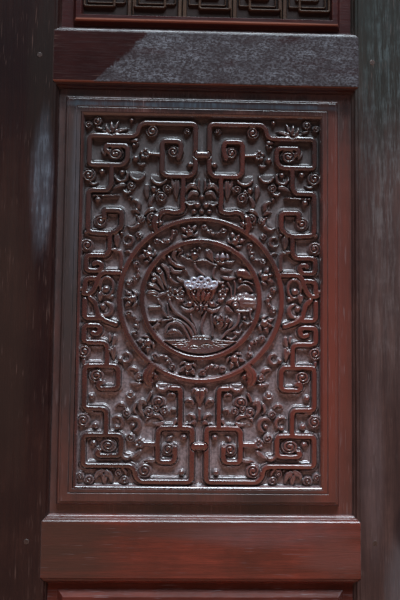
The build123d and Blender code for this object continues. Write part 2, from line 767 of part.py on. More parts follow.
LEAVES = [
    (39, 165, 32, 12, 180), (83, 160, 20, 9, 10), (72, 143, 22, 8, 200), (136, 261, 20, 16, 0),
    (120, 258, 16, 7, 60), (148, 221, 12, 6, -50), (15, 166, 26, 9, 205), (127, 86, 22, 9, 0),
    (178, 92, 14, 6, -20), (150, 2, 13, 9, 0), (130, -79, 20, 9, 0), (164, -170, 14, 6, 20),
    (139, -262, 20, 18, 180), (78, -242, 22, 7, 80), (43, -206, 14, 6, 10), (17, -180, 18, 8, 40),
    (80, -166, 26, 11, 15), (52, -128, 22, 7, 90), (128, -66, 14, 7, 10), (164, 175, 12, 5, 10),
]

half_carving = [rib(points) for points in FRET.values()]
half_carving += [rib(points, 5.5, RIB_HEIGHT * 0.9) for points in TIES]
half_carving += [curl(*values) for values in CURLS]
half_carving += [ball(*values) for values in BALLS]
half_carving += [rosette(*values) for values in ROSETTES]
half_carving += [leaf(*values) for values in LEAVES]
carving = half_carving + [mirror(piece, about=Plane.YZ) for piece in half_carving]

# On the middle line
for v in (220, -218):
    carving.append(swell([(-12, v - 7), (12, v - 7), (12, v + 7), (-12, v + 7)], RIB_HEIGHT, 0.7))
carving.append(ball(0, 152, 5))
carving.append(leaf(0, 171, 24, 12, 180))
carving.append(rosette(0, -142, 11))
carving.append(rib([(0, -150), (0, -178)], 5))

# The two rings and the vine between them
for radius in (OUTER_RING, INNER_RING):
    half = RING_WIDTH / 2
    section = [
        (radius - half, -BITE), (radius - half * 0.5, RIB_HEIGHT),
        (radius + half * 0.5, RIB_HEIGHT), (radius + half, -BITE),
    ]
    face = make_face(Polyline(*[(u, 0, w) for u, w in section], close=True))
    carving.append(revolve(face, axis=Axis.Z))

vine = []
for i in range(VINE_STEPS + 1):
    turn = 2 * math.pi * i / VINE_STEPS
    reach = VINE_RADIUS + VINE_SWAY * math.sin(VINE_WAVES * turn)
    vine.append((reach * math.cos(turn), reach * math.sin(turn)))
carving.append(rib(vine[:-1], 4, RIB_HEIGHT * 0.6))
for i in range(2 * VINE_WAVES):
    turn = math.pi * (i + 0.5) / VINE_WAVES
    reach = VINE_RADIUS - (-1) ** i * VINE_SWAY * 0.8
    u, v = reach * math.cos(turn), reach * math.sin(turn)
    carving.append(peak(round_outline(u, v, VINE_BUD, BALL_SIDES), u, v, RIB_HEIGHT * 0.9))

# The lotus in the middle, its stems and leaves, and the water under it
LOTUS = [
    (-24, 24), (-18, 30), (-6, 33), (6, 33), (18, 30), (25, 24), (20, 8), (11, -4), (-11, -4), (-20, 8),
]
WATER = [(-62, -60), (-14, -58), (0, -54), (16, -58), (58, -60), (40, -71), (0, -79), (-40, -71)]
STEMS = [
    [(-5, -54), (-9, -36), (-15, -20)],
    [(3, -54), (4, -36), (10, -14)],
    [(16, -55), (19, -36), (18, -22)],
    [(-8, -54), (-14, -38), (-27, -24), (-40, -12), (-45, 2)],
    [(-13, -55), (-20, -38), (-38, -30), (-52, -22), (-59, -4), (-65, 6)],
    [(32, -58), (42, -46), (54, -38), (57, -20)],
    [(-14, 36), (-22, 46), (-36, 51), (-47, 65)],
    [(5, 36), (-5, 45), (-10, 60)],
    [(20, 32), (18, 42), (27, 55)],
    [(-28, 63), (-14, 58), (5, 59), (22, 53)],
    [(32, 32), (52, 31)],
    [(-25, 25), (-38, 24), (-47, 34), (-50, 46)],
    [(56, 17), (63, 22), (70, 20), (75, 11)],
    [(-50, -50), (-46, -39), (-34, -38), (-22, -50), (-18, -58)],
    [(56, -17), (73, -17)],
    [(-73, -34), (-60, -32), (-47, -33)],
]
carving.append(swell(LOTUS, RIB_HEIGHT, 0.8))
carving.append(swell(WATER, RIB_HEIGHT * 0.8, 0.75))
carving += [rib(points, 4, RIB_HEIGHT * 0.7) for points in STEMS]
for side in (-1, 1):
    carving.append(leaf(side * 26, -11, 26, 9, side * 70))
    carving.append(ball(side * 31, 9, 6))
carving.append(leaf(0, -13, 22, 14, 180))
carving += [ball(-10, 67, 8), ball(30, 66, 11), ball(64, 37, 11), ball(-44, 8, 6), ball(30, -36, 9)]
carving += [leaf(13, 66, 20, 8, 20), leaf(62, -6, 46, 20, 90), leaf(-62, 30, 44, 18, 10)]
carving += [leaf(42, 58, 16, 6, -30), leaf(-38, -50, 26, 6, 90)]


def on_panel(opening):
    """The plane of a panel's sunk ground, with u to the right and v up."""
    z0, z1 = opening
    ground = -HALF_LEAF + FIELD_BACK + SINK_DEPTH
    return Plane(origin=(0, ground, (z0 + z1) / 2), x_dir=(1, 0, 0), z_dir=(0, -1, 0))


def sink(opening, half_x, half_z, slope, shift, raise_by):
    """The sunk ground of a panel, as the wood that is cut away."""
    middle = sum(opening) / 2 + raise_by
    face = -HALF_LEAF + FIELD_BACK
    return stack([
        rectangle(shift, middle, half_x - slope, half_z - slope, face + SINK_DEPTH),
        rectangle(shift, middle, half_x, half_z, face),
    ])


def skirt_panel():
    """The carved skirt panel: border, scribed line, sunk ground, and all its carving."""
    margin_x = HALF_OPENING - MOULDING_WIDTH - FOOT[0]
    margin_z = SKIRT_OPENING / 2 - MOULDING_WIDTH - FOOT[1]
    panel = board(skirt_opening, margin_x, margin_z, SLOPE, PANEL_SHIFT, FIELD_RAISE)
    arris_x, arris_z = FOOT[0] - SLOPE, FOOT[1] - SLOPE
    mouth_x, mouth_z = arris_x - SINK_INSET, arris_z - SINK_INSET
    panel -= sink(skirt_opening, mouth_x, mouth_z, SINK_SLOPE, PANEL_SHIFT, FIELD_RAISE)
    face = -HALF_LEAF + FIELD_BACK
    middle = sum(skirt_opening) / 2 + FIELD_RAISE
    line_x, line_z = arris_x - GROOVE_INSET, arris_z - GROOVE_INSET
    line = block(
        PANEL_SHIFT - line_x, PANEL_SHIFT + line_x, face, face + SCRIBE, middle - line_z, middle + line_z
    )
    line -= block(
        PANEL_SHIFT - line_x + SCRIBE, PANEL_SHIFT + line_x - SCRIBE, face, face + SCRIBE,
        middle - line_z + SCRIBE, middle + line_z - SCRIBE,
    )
    panel -= line
    plane = on_panel(skirt_opening) * Pos(*RING_CENTRE, 0)
    return panel.fuse(*[plane * piece for piece in carving])


def waist_panel():
    """The waist panel: a narrow border round a sunk ground with a rectangular fret."""
    margin_x, margin_z = WAIST_MARGIN
    panel = board(waist_opening, margin_x, margin_z, WAIST_SLOPE, 0, 0)
    mouth_x = HALF_OPENING - MOULDING_WIDTH - margin_x - WAIST_SLOPE - WAIST_BORDER
    mouth_z = WAIST_OPENING / 2 - MOULDING_WIDTH - margin_z - WAIST_SLOPE - WAIST_BORDER
    panel -= sink(waist_opening, mouth_x, mouth_z, WAIST_SINK_SLOPE, 0, 0)
    base = mouth_z - WAIST_SINK_SLOPE / 2
    unit = [(-34, -base), (-34, 52), (34, 52), (34, -52), (-12, -52), (-12, 28), (12, 28), (12, -28)]
    plane = on_panel(waist_opening)
    fret = []
    for i in range(FRET_UNITS):
        middle = (i - (FRET_UNITS - 1) / 2) * FRET_PITCH
        turned = 1 if middle >= 0 else -1
        fret.append(rib([(middle + turned * u, v) for u, v in unit], *FRET_RIB))
    return panel.fuse(*[plane * piece for piece in fret])


nodes["carved_panel"] = skirt_panel()
nodes["waist_panel"] = waist_panel()


# Open lattice: edge bars fitted in the opening, thin uprights housed in them, and
# crossbars let into the front of the uprights

lattice_z = (lattice_opening[0] + MOULDING_WIDTH, lattice_opening[1] - MOULDING_WIDTH)
lattice_x = HALF_OPENING - MOULDING_WIDTH
edge_width, edge_depth = EDGE_BAR
bar_width, bar_depth = LATTICE_BAR
clear_x = lattice_x - edge_width
clear_z = (lattice_z[0] + edge_width, lattice_z[1] - edge_width)
upright_pitch = 2 * clear_x / (UPRIGHTS + 1)
upright_places = [(i - (UPRIGHTS - 1) / 2) * upright_pitch for i in range(UPRIGHTS)]
crossbar_places = [
    middle + step * CROSSBAR_SPACING / 2
    for middle in (
        clear_z[0] + CROSSBAR_GROUP_INSET,
        sum(clear_z) / 2,
        clear_z[1] - CROSSBAR_GROUP_INSET,
    )
    for step in (-1, 1)
]


def lattice_upright(x):
    """A thin upright, housed in the edge rails at both ends."""
    return block(
        x - bar_width / 2, x + bar_width / 2, -bar_depth / 2, bar_depth / 2,
        clear_z[0] - HOUSING, clear_z[1] + HOUSING,
    )


def lattice_crossbar(z):
    """A crossbar of half the depth, housed in the edge uprights at both ends."""
    return block(
        -clear_x - HOUSING, clear_x + HOUSING, -bar_depth / 2, 0, z - bar_width / 2, z + bar_width / 2
    )


uprights = [lattice_upright(x) for x in upright_places]
crossbars = [lattice_crossbar(z) for z in crossbar_places]
edge_uprights = []
for side in (-1, 1):
    bar = block(
        side * clear_x, side * lattice_x, -edge_depth / 2, edge_depth / 2, lattice_z[0], lattice_z[1]
    )
    for crossbar in crossbars:
        bar -= crossbar
    edge_uprights.append(bar)
edge_rails = []
for z0, z1 in ((lattice_z[0], clear_z[0]), (clear_z[1], lattice_z[1])):
    bar = block(-clear_x, clear_x, -edge_depth / 2, edge_depth / 2, z0, z1)
    for upright in uprights:
        bar -= upright
    edge_rails.append(bar)
notched_uprights = []
for upright in uprights:
    for crossbar in crossbars:
        upright -= crossbar
    notched_uprights.append(upright)

nodes["lattice_edge_uprights"] = edge_uprights
nodes["lattice_edge_rails"] = edge_rails
nodes["lattice_uprights"] = notched_uprights
nodes["lattice_crossbars"] = crossbars


# Written out, one file for each node

for name, shape in nodes.items():
    pieces = shape if isinstance(shape, list) else [shape]
    solids = [one_solid(piece) for piece in pieces]
    whole = solids[0] if len(solids) == 1 else Compound(children=solids)
    export_step(whole, os.path.join("parts", f"{name}.step"))
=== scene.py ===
import math

import bpy
import numpy as np
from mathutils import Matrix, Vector


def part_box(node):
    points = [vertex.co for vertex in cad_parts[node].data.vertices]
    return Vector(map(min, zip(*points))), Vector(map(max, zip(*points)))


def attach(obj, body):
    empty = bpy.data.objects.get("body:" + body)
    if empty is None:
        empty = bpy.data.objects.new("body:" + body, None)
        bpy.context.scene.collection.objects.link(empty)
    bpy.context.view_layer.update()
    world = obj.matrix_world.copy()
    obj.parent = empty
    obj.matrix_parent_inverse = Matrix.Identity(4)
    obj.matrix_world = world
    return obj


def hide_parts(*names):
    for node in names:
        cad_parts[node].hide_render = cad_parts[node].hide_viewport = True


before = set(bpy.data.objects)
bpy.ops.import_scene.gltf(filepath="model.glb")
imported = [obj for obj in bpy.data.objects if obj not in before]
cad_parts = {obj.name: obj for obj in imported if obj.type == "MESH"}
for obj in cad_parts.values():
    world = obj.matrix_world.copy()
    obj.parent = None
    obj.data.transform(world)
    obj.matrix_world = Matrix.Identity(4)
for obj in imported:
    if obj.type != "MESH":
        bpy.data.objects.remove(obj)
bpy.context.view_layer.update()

MM = 0.001


# The fixed frame: threshold, head, two jambs, the loose pivot block and the planted
# stops. Heavy hardwood timbers, mortised and pegged, planed by hand, with every long
# edge a little rounded, under a dark red-brown lacquer that has gone thin and dusty.

def paint(red, green, blue):
    """A colour given as it looks, 0 to 255 each, as the light values Blender mixes."""
    shares = [value / 255 for value in (red, green, blue)]
    return [s / 12.92 if s <= 0.04045 else ((s + 0.055) / 1.055) ** 2.4 for s in shares] + [1]


def darker(colour, share):
    """A colour with only a share of its light."""
    return [value * share for value in colour[:3]] + [1]


def new_group(name, inputs, outputs):
    """An empty shader group: its named inputs with their kinds, and its named outputs, all
    of them plain values."""
    tree = bpy.data.node_groups.new(name, "ShaderNodeTree")
    for socket, kind in inputs.items():
        tree.interface.new_socket(socket, in_out="INPUT", socket_type=f"NodeSocket{kind}")
    for socket in outputs:
        tree.interface.new_socket(socket, in_out="OUTPUT", socket_type="NodeSocketFloat")
    return tree, tree.nodes.new("NodeGroupInput").outputs, tree.nodes.new("NodeGroupOutput").inputs


def feed(tree, socket, value):
    """Links a socket to what feeds it, or sets its value."""
    if isinstance(value, bpy.types.NodeSocket):
        tree.links.new(value, socket)
    else:
        socket.default_value = value


def node(tree, kind, settings=None, **values):
    """A node with its settings, and its sockets fed by name, or by number as i0, i1, i2."""
    made = tree.nodes.new(kind)
    for key, value in (settings or {}).items():
        setattr(made, key, value)
    for key, value in values.items():
        numbered = key[0] == "i" and key[1:].isdigit()
        feed(tree, made.inputs[int(key[1:])] if numbered else made.inputs[key], value)
    return made


def maths(tree, operation, *terms, clamp=False):
    """One step of arithmetic between values."""
    made = node(tree, "ShaderNodeMath", {"operation": operation, "use_clamp": clamp})
    for socket, value in zip(made.inputs, terms):
        feed(tree, socket, value)
    return made.outputs[0]


def ramp(tree, value, low, high):
    """A value taken from low to high as 0 to 1, softly."""
    settings = {"interpolation_type": "SMOOTHSTEP"}
    return node(tree, "ShaderNodeMapRange", settings, i0=value, i1=low, i2=high).outputs[0]


def noise(tree, place, scale, detail, roughness):
    """Cloudy noise over a place, as values round a half."""
    made = node(tree, "ShaderNodeTexNoise", Vector=place, Scale=scale, Detail=detail, Roughness=roughness)
    return made.outputs[0]


def stretched(tree, place, scale, shift=(0, 0, 0)):
    """A place with its axes stretched and shifted."""
    return node(tree, "ShaderNodeMapping", Vector=place, Location=shift, Scale=scale).outputs[0]


def blend_colour(tree, share, first, second):
    """Two colours mixed by a share."""
    return node(tree, "ShaderNodeMix", {"data_type": "RGBA"}, i0=share, i6=first, i7=second).outputs[2]


def blend_value(tree, share, first, second):
    """Two values mixed by a share."""
    return node(tree, "ShaderNodeMix", {"data_type": "FLOAT"}, i0=share, i2=first, i3=second).outputs[0]


def grouped(tree, group, **values):
    """What a shader group puts out in a material."""
    return node(tree, "ShaderNodeGroup", {"node_tree": group}, **values).outputs


# Grain: long streaks and fine pores along a place that is already stretched
grain_group, into, out = new_group("wood grain", {"Stretched": "Vector"}, ["Streak", "Pore"])
streak = noise(grain_group, into["Stretched"], 95.0, 5.0, 0.68)
pore = noise(grain_group, into["Stretched"], 420.0, 3.0, 0.7)
feed(grain_group, out["Streak"], ramp(grain_group, streak, 0.34, 0.66))
feed(grain_group, out["Pore"], ramp(grain_group, pore, 0.42, 0.62))

# Wear: how near a sharp edge a point lies, broken up so that the line isn't even
wear_group, into, out = new_group("worn arris", {"Place": "Vector", "Reach": "Float"}, ["Worn"])
rounded = node(wear_group, "ShaderNodeBevel", {"samples": 4}, Radius=into["Reach"])
true = node(wear_group, "ShaderNodeNewGeometry")
turn = node(
    wear_group, "ShaderNodeVectorMath", {"operation": "DOT_PRODUCT"},
    i0=rounded.outputs[0], i1=true.outputs["Normal"],
)
bare = ramp(wear_group, maths(wear_group, "SUBTRACT", 1.0, turn.outputs[1]), 0.01, 0.2)
patchy = ramp(wear_group, noise(wear_group, into["Place"], 38.0, 4.0, 0.6), 0.3, 0.7)
feed(wear_group, out["Worn"], maths(wear_group, "MULTIPLY", bare, patchy))

# Dust: what lies in nooks and on what faces up, and the nooks by themselves
dust_group, into, out = new_group("settled dust", {"Place": "Vector", "Reach": "Float"}, ["Dust", "Nook"])
closed = node(dust_group, "ShaderNodeAmbientOcclusion", {"samples": 6}, Distance=into["Reach"])
nook = ramp(dust_group, maths(dust_group, "SUBTRACT", 1.0, closed.outputs["AO"]), 0.12, 0.75)
surface = node(dust_group, "ShaderNodeNewGeometry")
facing = node(dust_group, "ShaderNodeSeparateXYZ", Vector=surface.outputs["Normal"])
ledge = ramp(dust_group, facing.outputs["Z"], 0.25, 0.95)
lies = maths(dust_group, "MULTIPLY_ADD", ledge, 0.6, nook, clamp=True)
speck = ramp(dust_group, noise(dust_group, into["Place"], 160.0, 4.0, 0.75), 0.25, 0.7)
feed(dust_group, out["Dust"], maths(dust_group, "MULTIPLY", lies, speck))
feed(dust_group, out["Nook"], nook)

# Use: slow clouds in the lacquer, long fine scratches, and the glitter where it has crazed
use_group, into, out = new_group(
    "years of use", {"Place": "Vector", "Stretched": "Vector"}, ["Cloud", "Scratch", "Glitter"],
)
cloud = noise(use_group, into["Place"], 9.0, 6.0, 0.62)
hair = ramp(use_group, noise(use_group, into["Stretched"], 620.0, 1.0, 0.5), 0.64, 0.72)
where = ramp(use_group, noise(use_group, into["Place"], 26.0, 2.0, 0.5), 0.45, 0.62)
squashed = stretched(use_group, into["Place"], (0.55, 1, 1))
drawn = stretched(use_group, into["Stretched"], (0.55, 1, 1))
crazed = ramp(use_group, noise(use_group, drawn, 520.0, 4.0, 0.75), 0.42, 0.64)
gathers = ramp(use_group, noise(use_group, squashed, 46.0, 4.0, 0.6), 0.36, 0.7)
gathers = maths(use_group, "MULTIPLY_ADD", gathers, 0.65, 0.3)
feed(use_group, out["Cloud"], ramp(use_group, cloud, 0.33, 0.68))
feed(use_group, out["Scratch"], maths(use_group, "MULTIPLY", hair, where))
feed(use_group, out["Glitter"], maths(use_group, "MULTIPLY", crazed, gathers))

GRAIN = {"x": (0.045, 1, 1), "z": (1, 1, 0.045), "none": (1, 1, 1)}
ARRIS_WEAR = 2.2 * MM
PORE_DEPTH = 0.4 * MM


def lacquer(
    name, deep, warm, grain, worn=paint(118, 92, 84), dust=paint(120, 116, 118), shine=0.27,
    streaks=0.5, wear=0.55, dusty=0.45, coat=0.3, coat_ior=1.5, dust_reach=12 * MM, gloss=0.4,
    rough=0.2, patches_and_painted_light=(),
):
    """Lacquered timber. grain is x, z or none; the patches hold worn tone and also painted light and shade,
    each patch with its middle, half sizes, colour, strength, roughness and share of glitter."""
    material = bpy.data.materials.new(name)
    material.use_nodes = True
    tree = material.node_tree
    place = node(tree, "ShaderNodeTexCoord").outputs["Object"]
    along = stretched(tree, place, GRAIN[grain])
    grains = grouped(tree, grain_group, Stretched=along)
    use = grouped(tree, use_group, Place=place, Stretched=along)
    edge = grouped(tree, wear_group, Place=place, Reach=ARRIS_WEAR)
    dirt = grouped(tree, dust_group, Place=place, Reach=dust_reach)
    colour = blend_colour(tree, use["Cloud"], deep, warm)
    colour = blend_colour(tree, maths(tree, "MULTIPLY", grains["Streak"], streaks), colour, deep)
    fine = maths(tree, "MULTIPLY", grains["Pore"], streaks * 0.4)
    colour = blend_colour(tree, fine, colour, darker(deep, 0.55))
    roughness = maths(tree, "MULTIPLY_ADD", grains["Pore"], 0.12, shine)
    for middle, half, tone, strength, dull, glints in patches_and_painted_light:
        local = stretched(tree, place, [1 / h for h in half], [-m / h for m, h in zip(middle, half)])
        away = node(tree, "ShaderNodeVectorMath", {"operation": "LENGTH"}, i0=local).outputs["Value"]
        ragged = maths(tree, "MULTIPLY_ADD", noise(tree, along, 17.0, 7.0, 0.66), 2.2, -1.1)
        inside = ramp(tree, maths(tree, "ADD", away, ragged), 1.15, 0.3)
        inside = maths(tree, "MULTIPLY", inside, strength)
        if glints:
            shown = maths(tree, "MULTIPLY_ADD", use["Glitter"], glints, 1 - glints)
            inside = maths(tree, "MULTIPLY", inside, shown)
        colour = blend_colour(tree, inside, colour, tone)
        roughness = blend_value(tree, inside, roughness, dull)
    settled = maths(tree, "MULTIPLY", dirt["Dust"], dusty)
    lines = maths(tree, "MULTIPLY", use["Scratch"], 0.35)
    colour = blend_colour(tree, maths(tree, "MULTIPLY", edge["Worn"], wear), colour, worn)
    colour = blend_colour(tree, settled, colour, dust)
    colour = blend_colour(tree, lines, colour, worn)
    height = maths(tree, "SUBTRACT", grains["Pore"], lines)
    bump = node(tree, "ShaderNodeBump", Strength=rough, Distance=PORE_DEPTH, Height=height)
    for socket, value in (
        ("Base Color", colour), ("Roughness", blend_value(tree, settled, roughness, 0.75)),
        ("Normal", bump.outputs[0]), ("Specular IOR Level", gloss), ("Coat Weight", coat),
        ("Coat Roughness", 0.13), ("Coat IOR", coat_ior),
    ):
        feed(tree, tree.nodes["Principled BSDF"].inputs[socket], value)
    return material


def added(name, data):
    """A new object in the scene."""
    made = bpy.data.objects.new(name, data)
    bpy.context.scene.collection.objects.link(made)
    return made


def alone(piece):
    """Selects one object and nothing else."""
    bpy.ops.object.select_all(action="DESELECT")
    piece.select_set(True)
    bpy.context.view_layer.objects.active = piece


def apply_modifier(piece, kind, **settings):
    """Adds a modifier with its settings and applies it."""
    alone(piece)
    modifier = piece.modifiers.new(kind.lower(), kind)
    for key, value in settings.items():
        setattr(modifier, key, value)
    bpy.ops.object.modifier_apply(modifier=modifier.name)


def smooth_flats(piece, angle=50, weight=100):
    """Smooth over the eased edges only, so that the planed faces stay flat."""
    alone(piece)
    bpy.ops.object.shade_smooth_by_angle(angle=math.radians(angle))
    apply_modifier(piece, "WEIGHTED_NORMAL", keep_sharp=True, weight=weight)


def ease_edges(piece, width, angle, **settings):
    """Bevels the edges that turn by more than an angle, and leaves the flat faces flat."""
    apply_modifier(
        piece, "BEVEL", width=width, segments=2, limit_method="ANGLE", angle_limit=math.radians(angle),
        **settings,
    )


def hand_over(piece, body, slot, material, *nodes):
    """Gives a finished piece its finish and its body, and hides the CAD nodes that it stands for."""
    piece.data.materials.clear()
    piece.data.materials.append(material)
    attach(piece, body)
    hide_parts(*nodes)


def timber(cad_node, body, slot, material, arris, round_from=25):
    """The timber of a CAD node with its sharp edges eased, and kept inside the node's box."""
    piece = added(f"{cad_node}_timber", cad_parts[cad_node].data.copy())
    alone(piece)
    bpy.ops.object.mode_set(mode="EDIT")
    bpy.ops.mesh.select_all(action="SELECT")
    bpy.ops.mesh.remove_doubles(threshold=0.02 * MM)
    bpy.ops.mesh.dissolve_limited(angle_limit=math.radians(0.5))
    bpy.ops.object.mode_set(mode="OBJECT")
    ease_edges(piece, arris, round_from, use_clamp_overlap=True, harden_normals=False)
    low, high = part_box(cad_node)
    for point in piece.data.vertices:
        point.co = [min(max(value, a), b) for value, a, b in zip(point.co, low, high)]
    smooth_flats(piece)
    hand_over(piece, body, slot, material, cad_node)


frame_level, frame_upright = [
    lacquer(f"frame lacquer {way}", paint(44, 24, 22), paint(74, 38, 32), grain, streaks=0.7)
    for way, grain in (("level", "x"), ("upright", "z"))
]
foot_worn = lacquer(
    "threshold lacquer", paint(50, 30, 26), paint(80, 46, 38), "x", worn=paint(140, 118, 104),
    streaks=0.9, wear=0.9, dusty=0.6, shine=0.42,
    patches_and_painted_light=[((0, -0.05, 0.12), (0.3, 0.12, 0.05), paint(112, 92, 80), 0.75, 0.6, 0)],
)
for cad_node, finish in (
    ("threshold", foot_worn), ("head", frame_level), ("jamb_hinge_side", frame_upright),
    ("jamb_latch_side", frame_upright), ("pivot_block", frame_level),
    ("stop_hinge_side", frame_upright), ("stop_latch_side", frame_upright), ("stop_head", frame_level),
):
    timber(cad_node, "frame", "frame_timber", finish, 1.6 * MM)


# The leaf's two stiles, each with its moulded inner edge. The hanging stile has the two pivot pins cut on
# its ends. The lacquer is darkest at the hanging side, with painted shade at its top and a bluish painted
# reflection of the sky on it, and worn grey and streaky down the latch side, where hands and rain reach it.

LEAF_FACE = -24 * MM
LEAF_ARRIS = 0.6 * MM
hanging_finish = lacquer(
    "hanging stile lacquer", paint(36, 20, 20), paint(60, 36, 31), "z", streaks=0.7, wear=0.35,
    shine=0.24, coat=0.0, gloss=0.3,
    patches_and_painted_light=[
        # Painted shade darkens the top of the hanging stile
        ((-0.31, LEAF_FACE, 1.16), (0.07, 0.05, 0.2), paint(30, 18, 19), 0.8, 0.3, 0),
        ((-0.247, LEAF_FACE, 1.1), (0.025, 0.05, 0.14), paint(36, 28, 25), 0.7, 0.32, 0),
        # A bluish painted reflection of the sky
        ((-0.245, LEAF_FACE, 0.935), (0.017, 0.05, 0.1), paint(112, 120, 132), 0.75, 0.45, 0.75),
        ((-0.30, LEAF_FACE, 0.72), (0.05, 0.05, 0.3), paint(58, 42, 36), 0.6, 0.34, 0),
    ],
)
latch_finish = lacquer(
    "latch stile lacquer", paint(62, 44, 42), paint(92, 68, 63), "z", worn=paint(128, 114, 112),
    streaks=0.95, wear=0.35, shine=0.3, coat=0.0, gloss=0.3, rough=0.3,
    patches_and_painted_light=[
        ((0.275, LEAF_FACE, 1.2), (0.08, 0.06, 0.22), paint(34, 38, 34), 0.95, 0.36, 0.15),
        ((0.275, LEAF_FACE, 1.06), (0.05, 0.06, 0.22), paint(98, 108, 110), 0.65, 0.4, 1),
        ((0.285, LEAF_FACE, 0.84), (0.05, 0.06, 0.22), paint(112, 98, 96), 0.7, 0.4, 0.8),
        ((0.25, LEAF_FACE, 0.52), (0.02, 0.06, 0.16), paint(112, 94, 94), 0.5, 0.4, 0.5),
        ((0.298, LEAF_FACE, 0.36), (0.03, 0.06, 0.08), paint(112, 108, 112), 0.5, 0.4, 0.4),
        ((0.3, LEAF_FACE, 0.44), (0.02, 0.06, 0.03), paint(36, 25, 27), 0.8, 0.3, 0),
    ],
)
timber("hanging_stile", "leaf", "leaf_timber", hanging_finish, LEAF_ARRIS)
timber("latch_stile", "leaf", "leaf_timber", latch_finish, LEAF_ARRIS)


# The six rails, tenoned into the stiles, with the same moulding on their edges. The rail over the carved
# panel has a wide bluish painted reflection of the sky, dull and glittering, and a copper painted
# reflection on its lower moulding; the one under it is the reddest wood of the door, with a pale painted
# sheen at its upper right.

rail_plain = lacquer("rail lacquer", paint(48, 25, 22), paint(84, 42, 35), "x")
rail_under = lacquer(
    "lower rail lacquer", paint(86, 39, 30), paint(136, 57, 43), "x", wear=0.4, shine=0.22,
    streaks=0.75, gloss=0.4, worn=paint(124, 116, 120), rough=0.3,
    patches_and_painted_light=[
        ((-0.2, LEAF_FACE, 0.41), (0.1, 0.05, 0.07), paint(58, 40, 33), 0.8, 0.4, 0),
        ((-0.03, LEAF_FACE, 0.44), (0.09, 0.05, 0.022), paint(74, 46, 40), 0.7, 0.4, 0),
        # A painted sheen: the sky's pale reflection at the rail's upper right
        ((0.1, LEAF_FACE, 0.432), (0.13, 0.05, 0.024), paint(122, 92, 94), 0.6, 0.4, 0.6),
        ((0.2, LEAF_FACE, 0.4), (0.06, 0.05, 0.03), paint(104, 62, 56), 0.7, 0.4, 0),
    ],
)
rail_over = lacquer(
    "upper rail lacquer", paint(44, 22, 22), paint(58, 32, 31), "x", wear=0.35, shine=0.2, coat=0.0,
    streaks=0.5, gloss=0.25,
    # A thin copper line on the lower moulding: a painted reflection of warm light from below
    patches_and_painted_light=[((0, LEAF_FACE + 1.5 * MM, 1.1045), (0.9, 0.006, 0.0022), paint(140, 84, 68), 0.75, 0.4, 0)],
)


def laid_over(material, mask, finish):
    """Mixes a finish, a value for each named socket, over the material's own by a mask."""
    tree = material.node_tree
    for name, value in finish.items():
        socket = tree.nodes["Principled BSDF"].inputs[name]
        before = socket.links[0].from_socket if socket.links else socket.default_value
        blend = blend_colour if name == "Base Color" else blend_value
        feed(tree, socket, blend(tree, mask, before, value))


def place_and_parts(tree):
    """A point's place on the object, and that place's x, y and z."""
    place = node(tree, "ShaderNodeTexCoord").outputs["Object"]
    return place, node(tree, "ShaderNodeSeparateXYZ", Vector=place).outputs


def painted_sky_reflection(material, foot, head, low, high, dull):
    """A painted reflection of the sky on the face, right of a slanting line from foot to head, each an x
    and a z: a pale, dulled patch that glitters where the lacquer has crazed."""
    tree = material.node_tree
    place, (x, y, z) = place_and_parts(tree)
    lean = (head[0] - foot[0]) / (head[1] - foot[1])
    rise = maths(tree, "MULTIPLY", maths(tree, "SUBTRACT", z, foot[1]), lean)
    past = maths(tree, "SUBTRACT", maths(tree, "SUBTRACT", x, foot[0]), rise)
    shake = maths(tree, "MULTIPLY_ADD", noise(tree, place, 110.0, 5.0, 0.7), 30 * MM, -15 * MM)
    mask = ramp(tree, maths(tree, "ADD", past, shake), -3 * MM, 6 * MM)
    front = ramp(tree, y, LEAF_FACE + 1.5 * MM, LEAF_FACE + 0.5 * MM)
    mask = maths(tree, "MULTIPLY", mask, front)
    slow = noise(tree, stretched(tree, place, (6, 1, 22)), 1.6, 3.0, 0.6)
    mask = maths(tree, "MULTIPLY", mask, ramp(tree, slow, 0.2, 0.5))
    glitter = grouped(tree, use_group, Place=place, Stretched=place)["Glitter"]
    laid_over(material, mask, {"Base Color": blend_colour(tree, glitter, low, high), "Roughness": dull})


# A painted reflection of the sky on the upper rail, right of a slanting edge
painted_sky_reflection(rail_over, (-0.1695, 1.1064), (-0.095, 1.1785), paint(50, 40, 42), paint(124, 126, 134), 0.36)
for cad_node, finish in (
    ("bottom_rail", rail_plain), ("lower_rail", rail_under), ("upper_rail", rail_over),
    ("waist_rail", rail_plain), ("lattice_rail", rail_plain), ("top_rail", rail_plain),
):
    timber(cad_node, "leaf", "leaf_timber", finish, LEAF_ARRIS)


# The two plain raised panels, at the foot and the top of the leaf: one board each,
# with a bevel planed all round and its thin edge loose in the grooves.

# Its pale bluish edges are partly wear and partly painted highlights along the arrises
panel_plain = lacquer(
    "plain panel lacquer", paint(76, 38, 32), paint(108, 54, 45), "x", shine=0.2, coat=0.0, wear=0.8,
    worn=paint(160, 160, 168), gloss=0.05, dusty=0.1,
)
timber("bottom_panel", "leaf", "carved_timber", panel_plain, 0.8 * MM)
timber("top_panel", "leaf", "carved_timber", panel_plain, 0.8 * MM)


# The skirt panel's board: a thin edge in the grooves, a slope and a small step up to
# the field, a scribed line round the border, and the middle sunk for the carving.

EDGE_FACE = -12 * MM
FIELD_FACE = -22 * MM
GROUND = -12.5 * MM


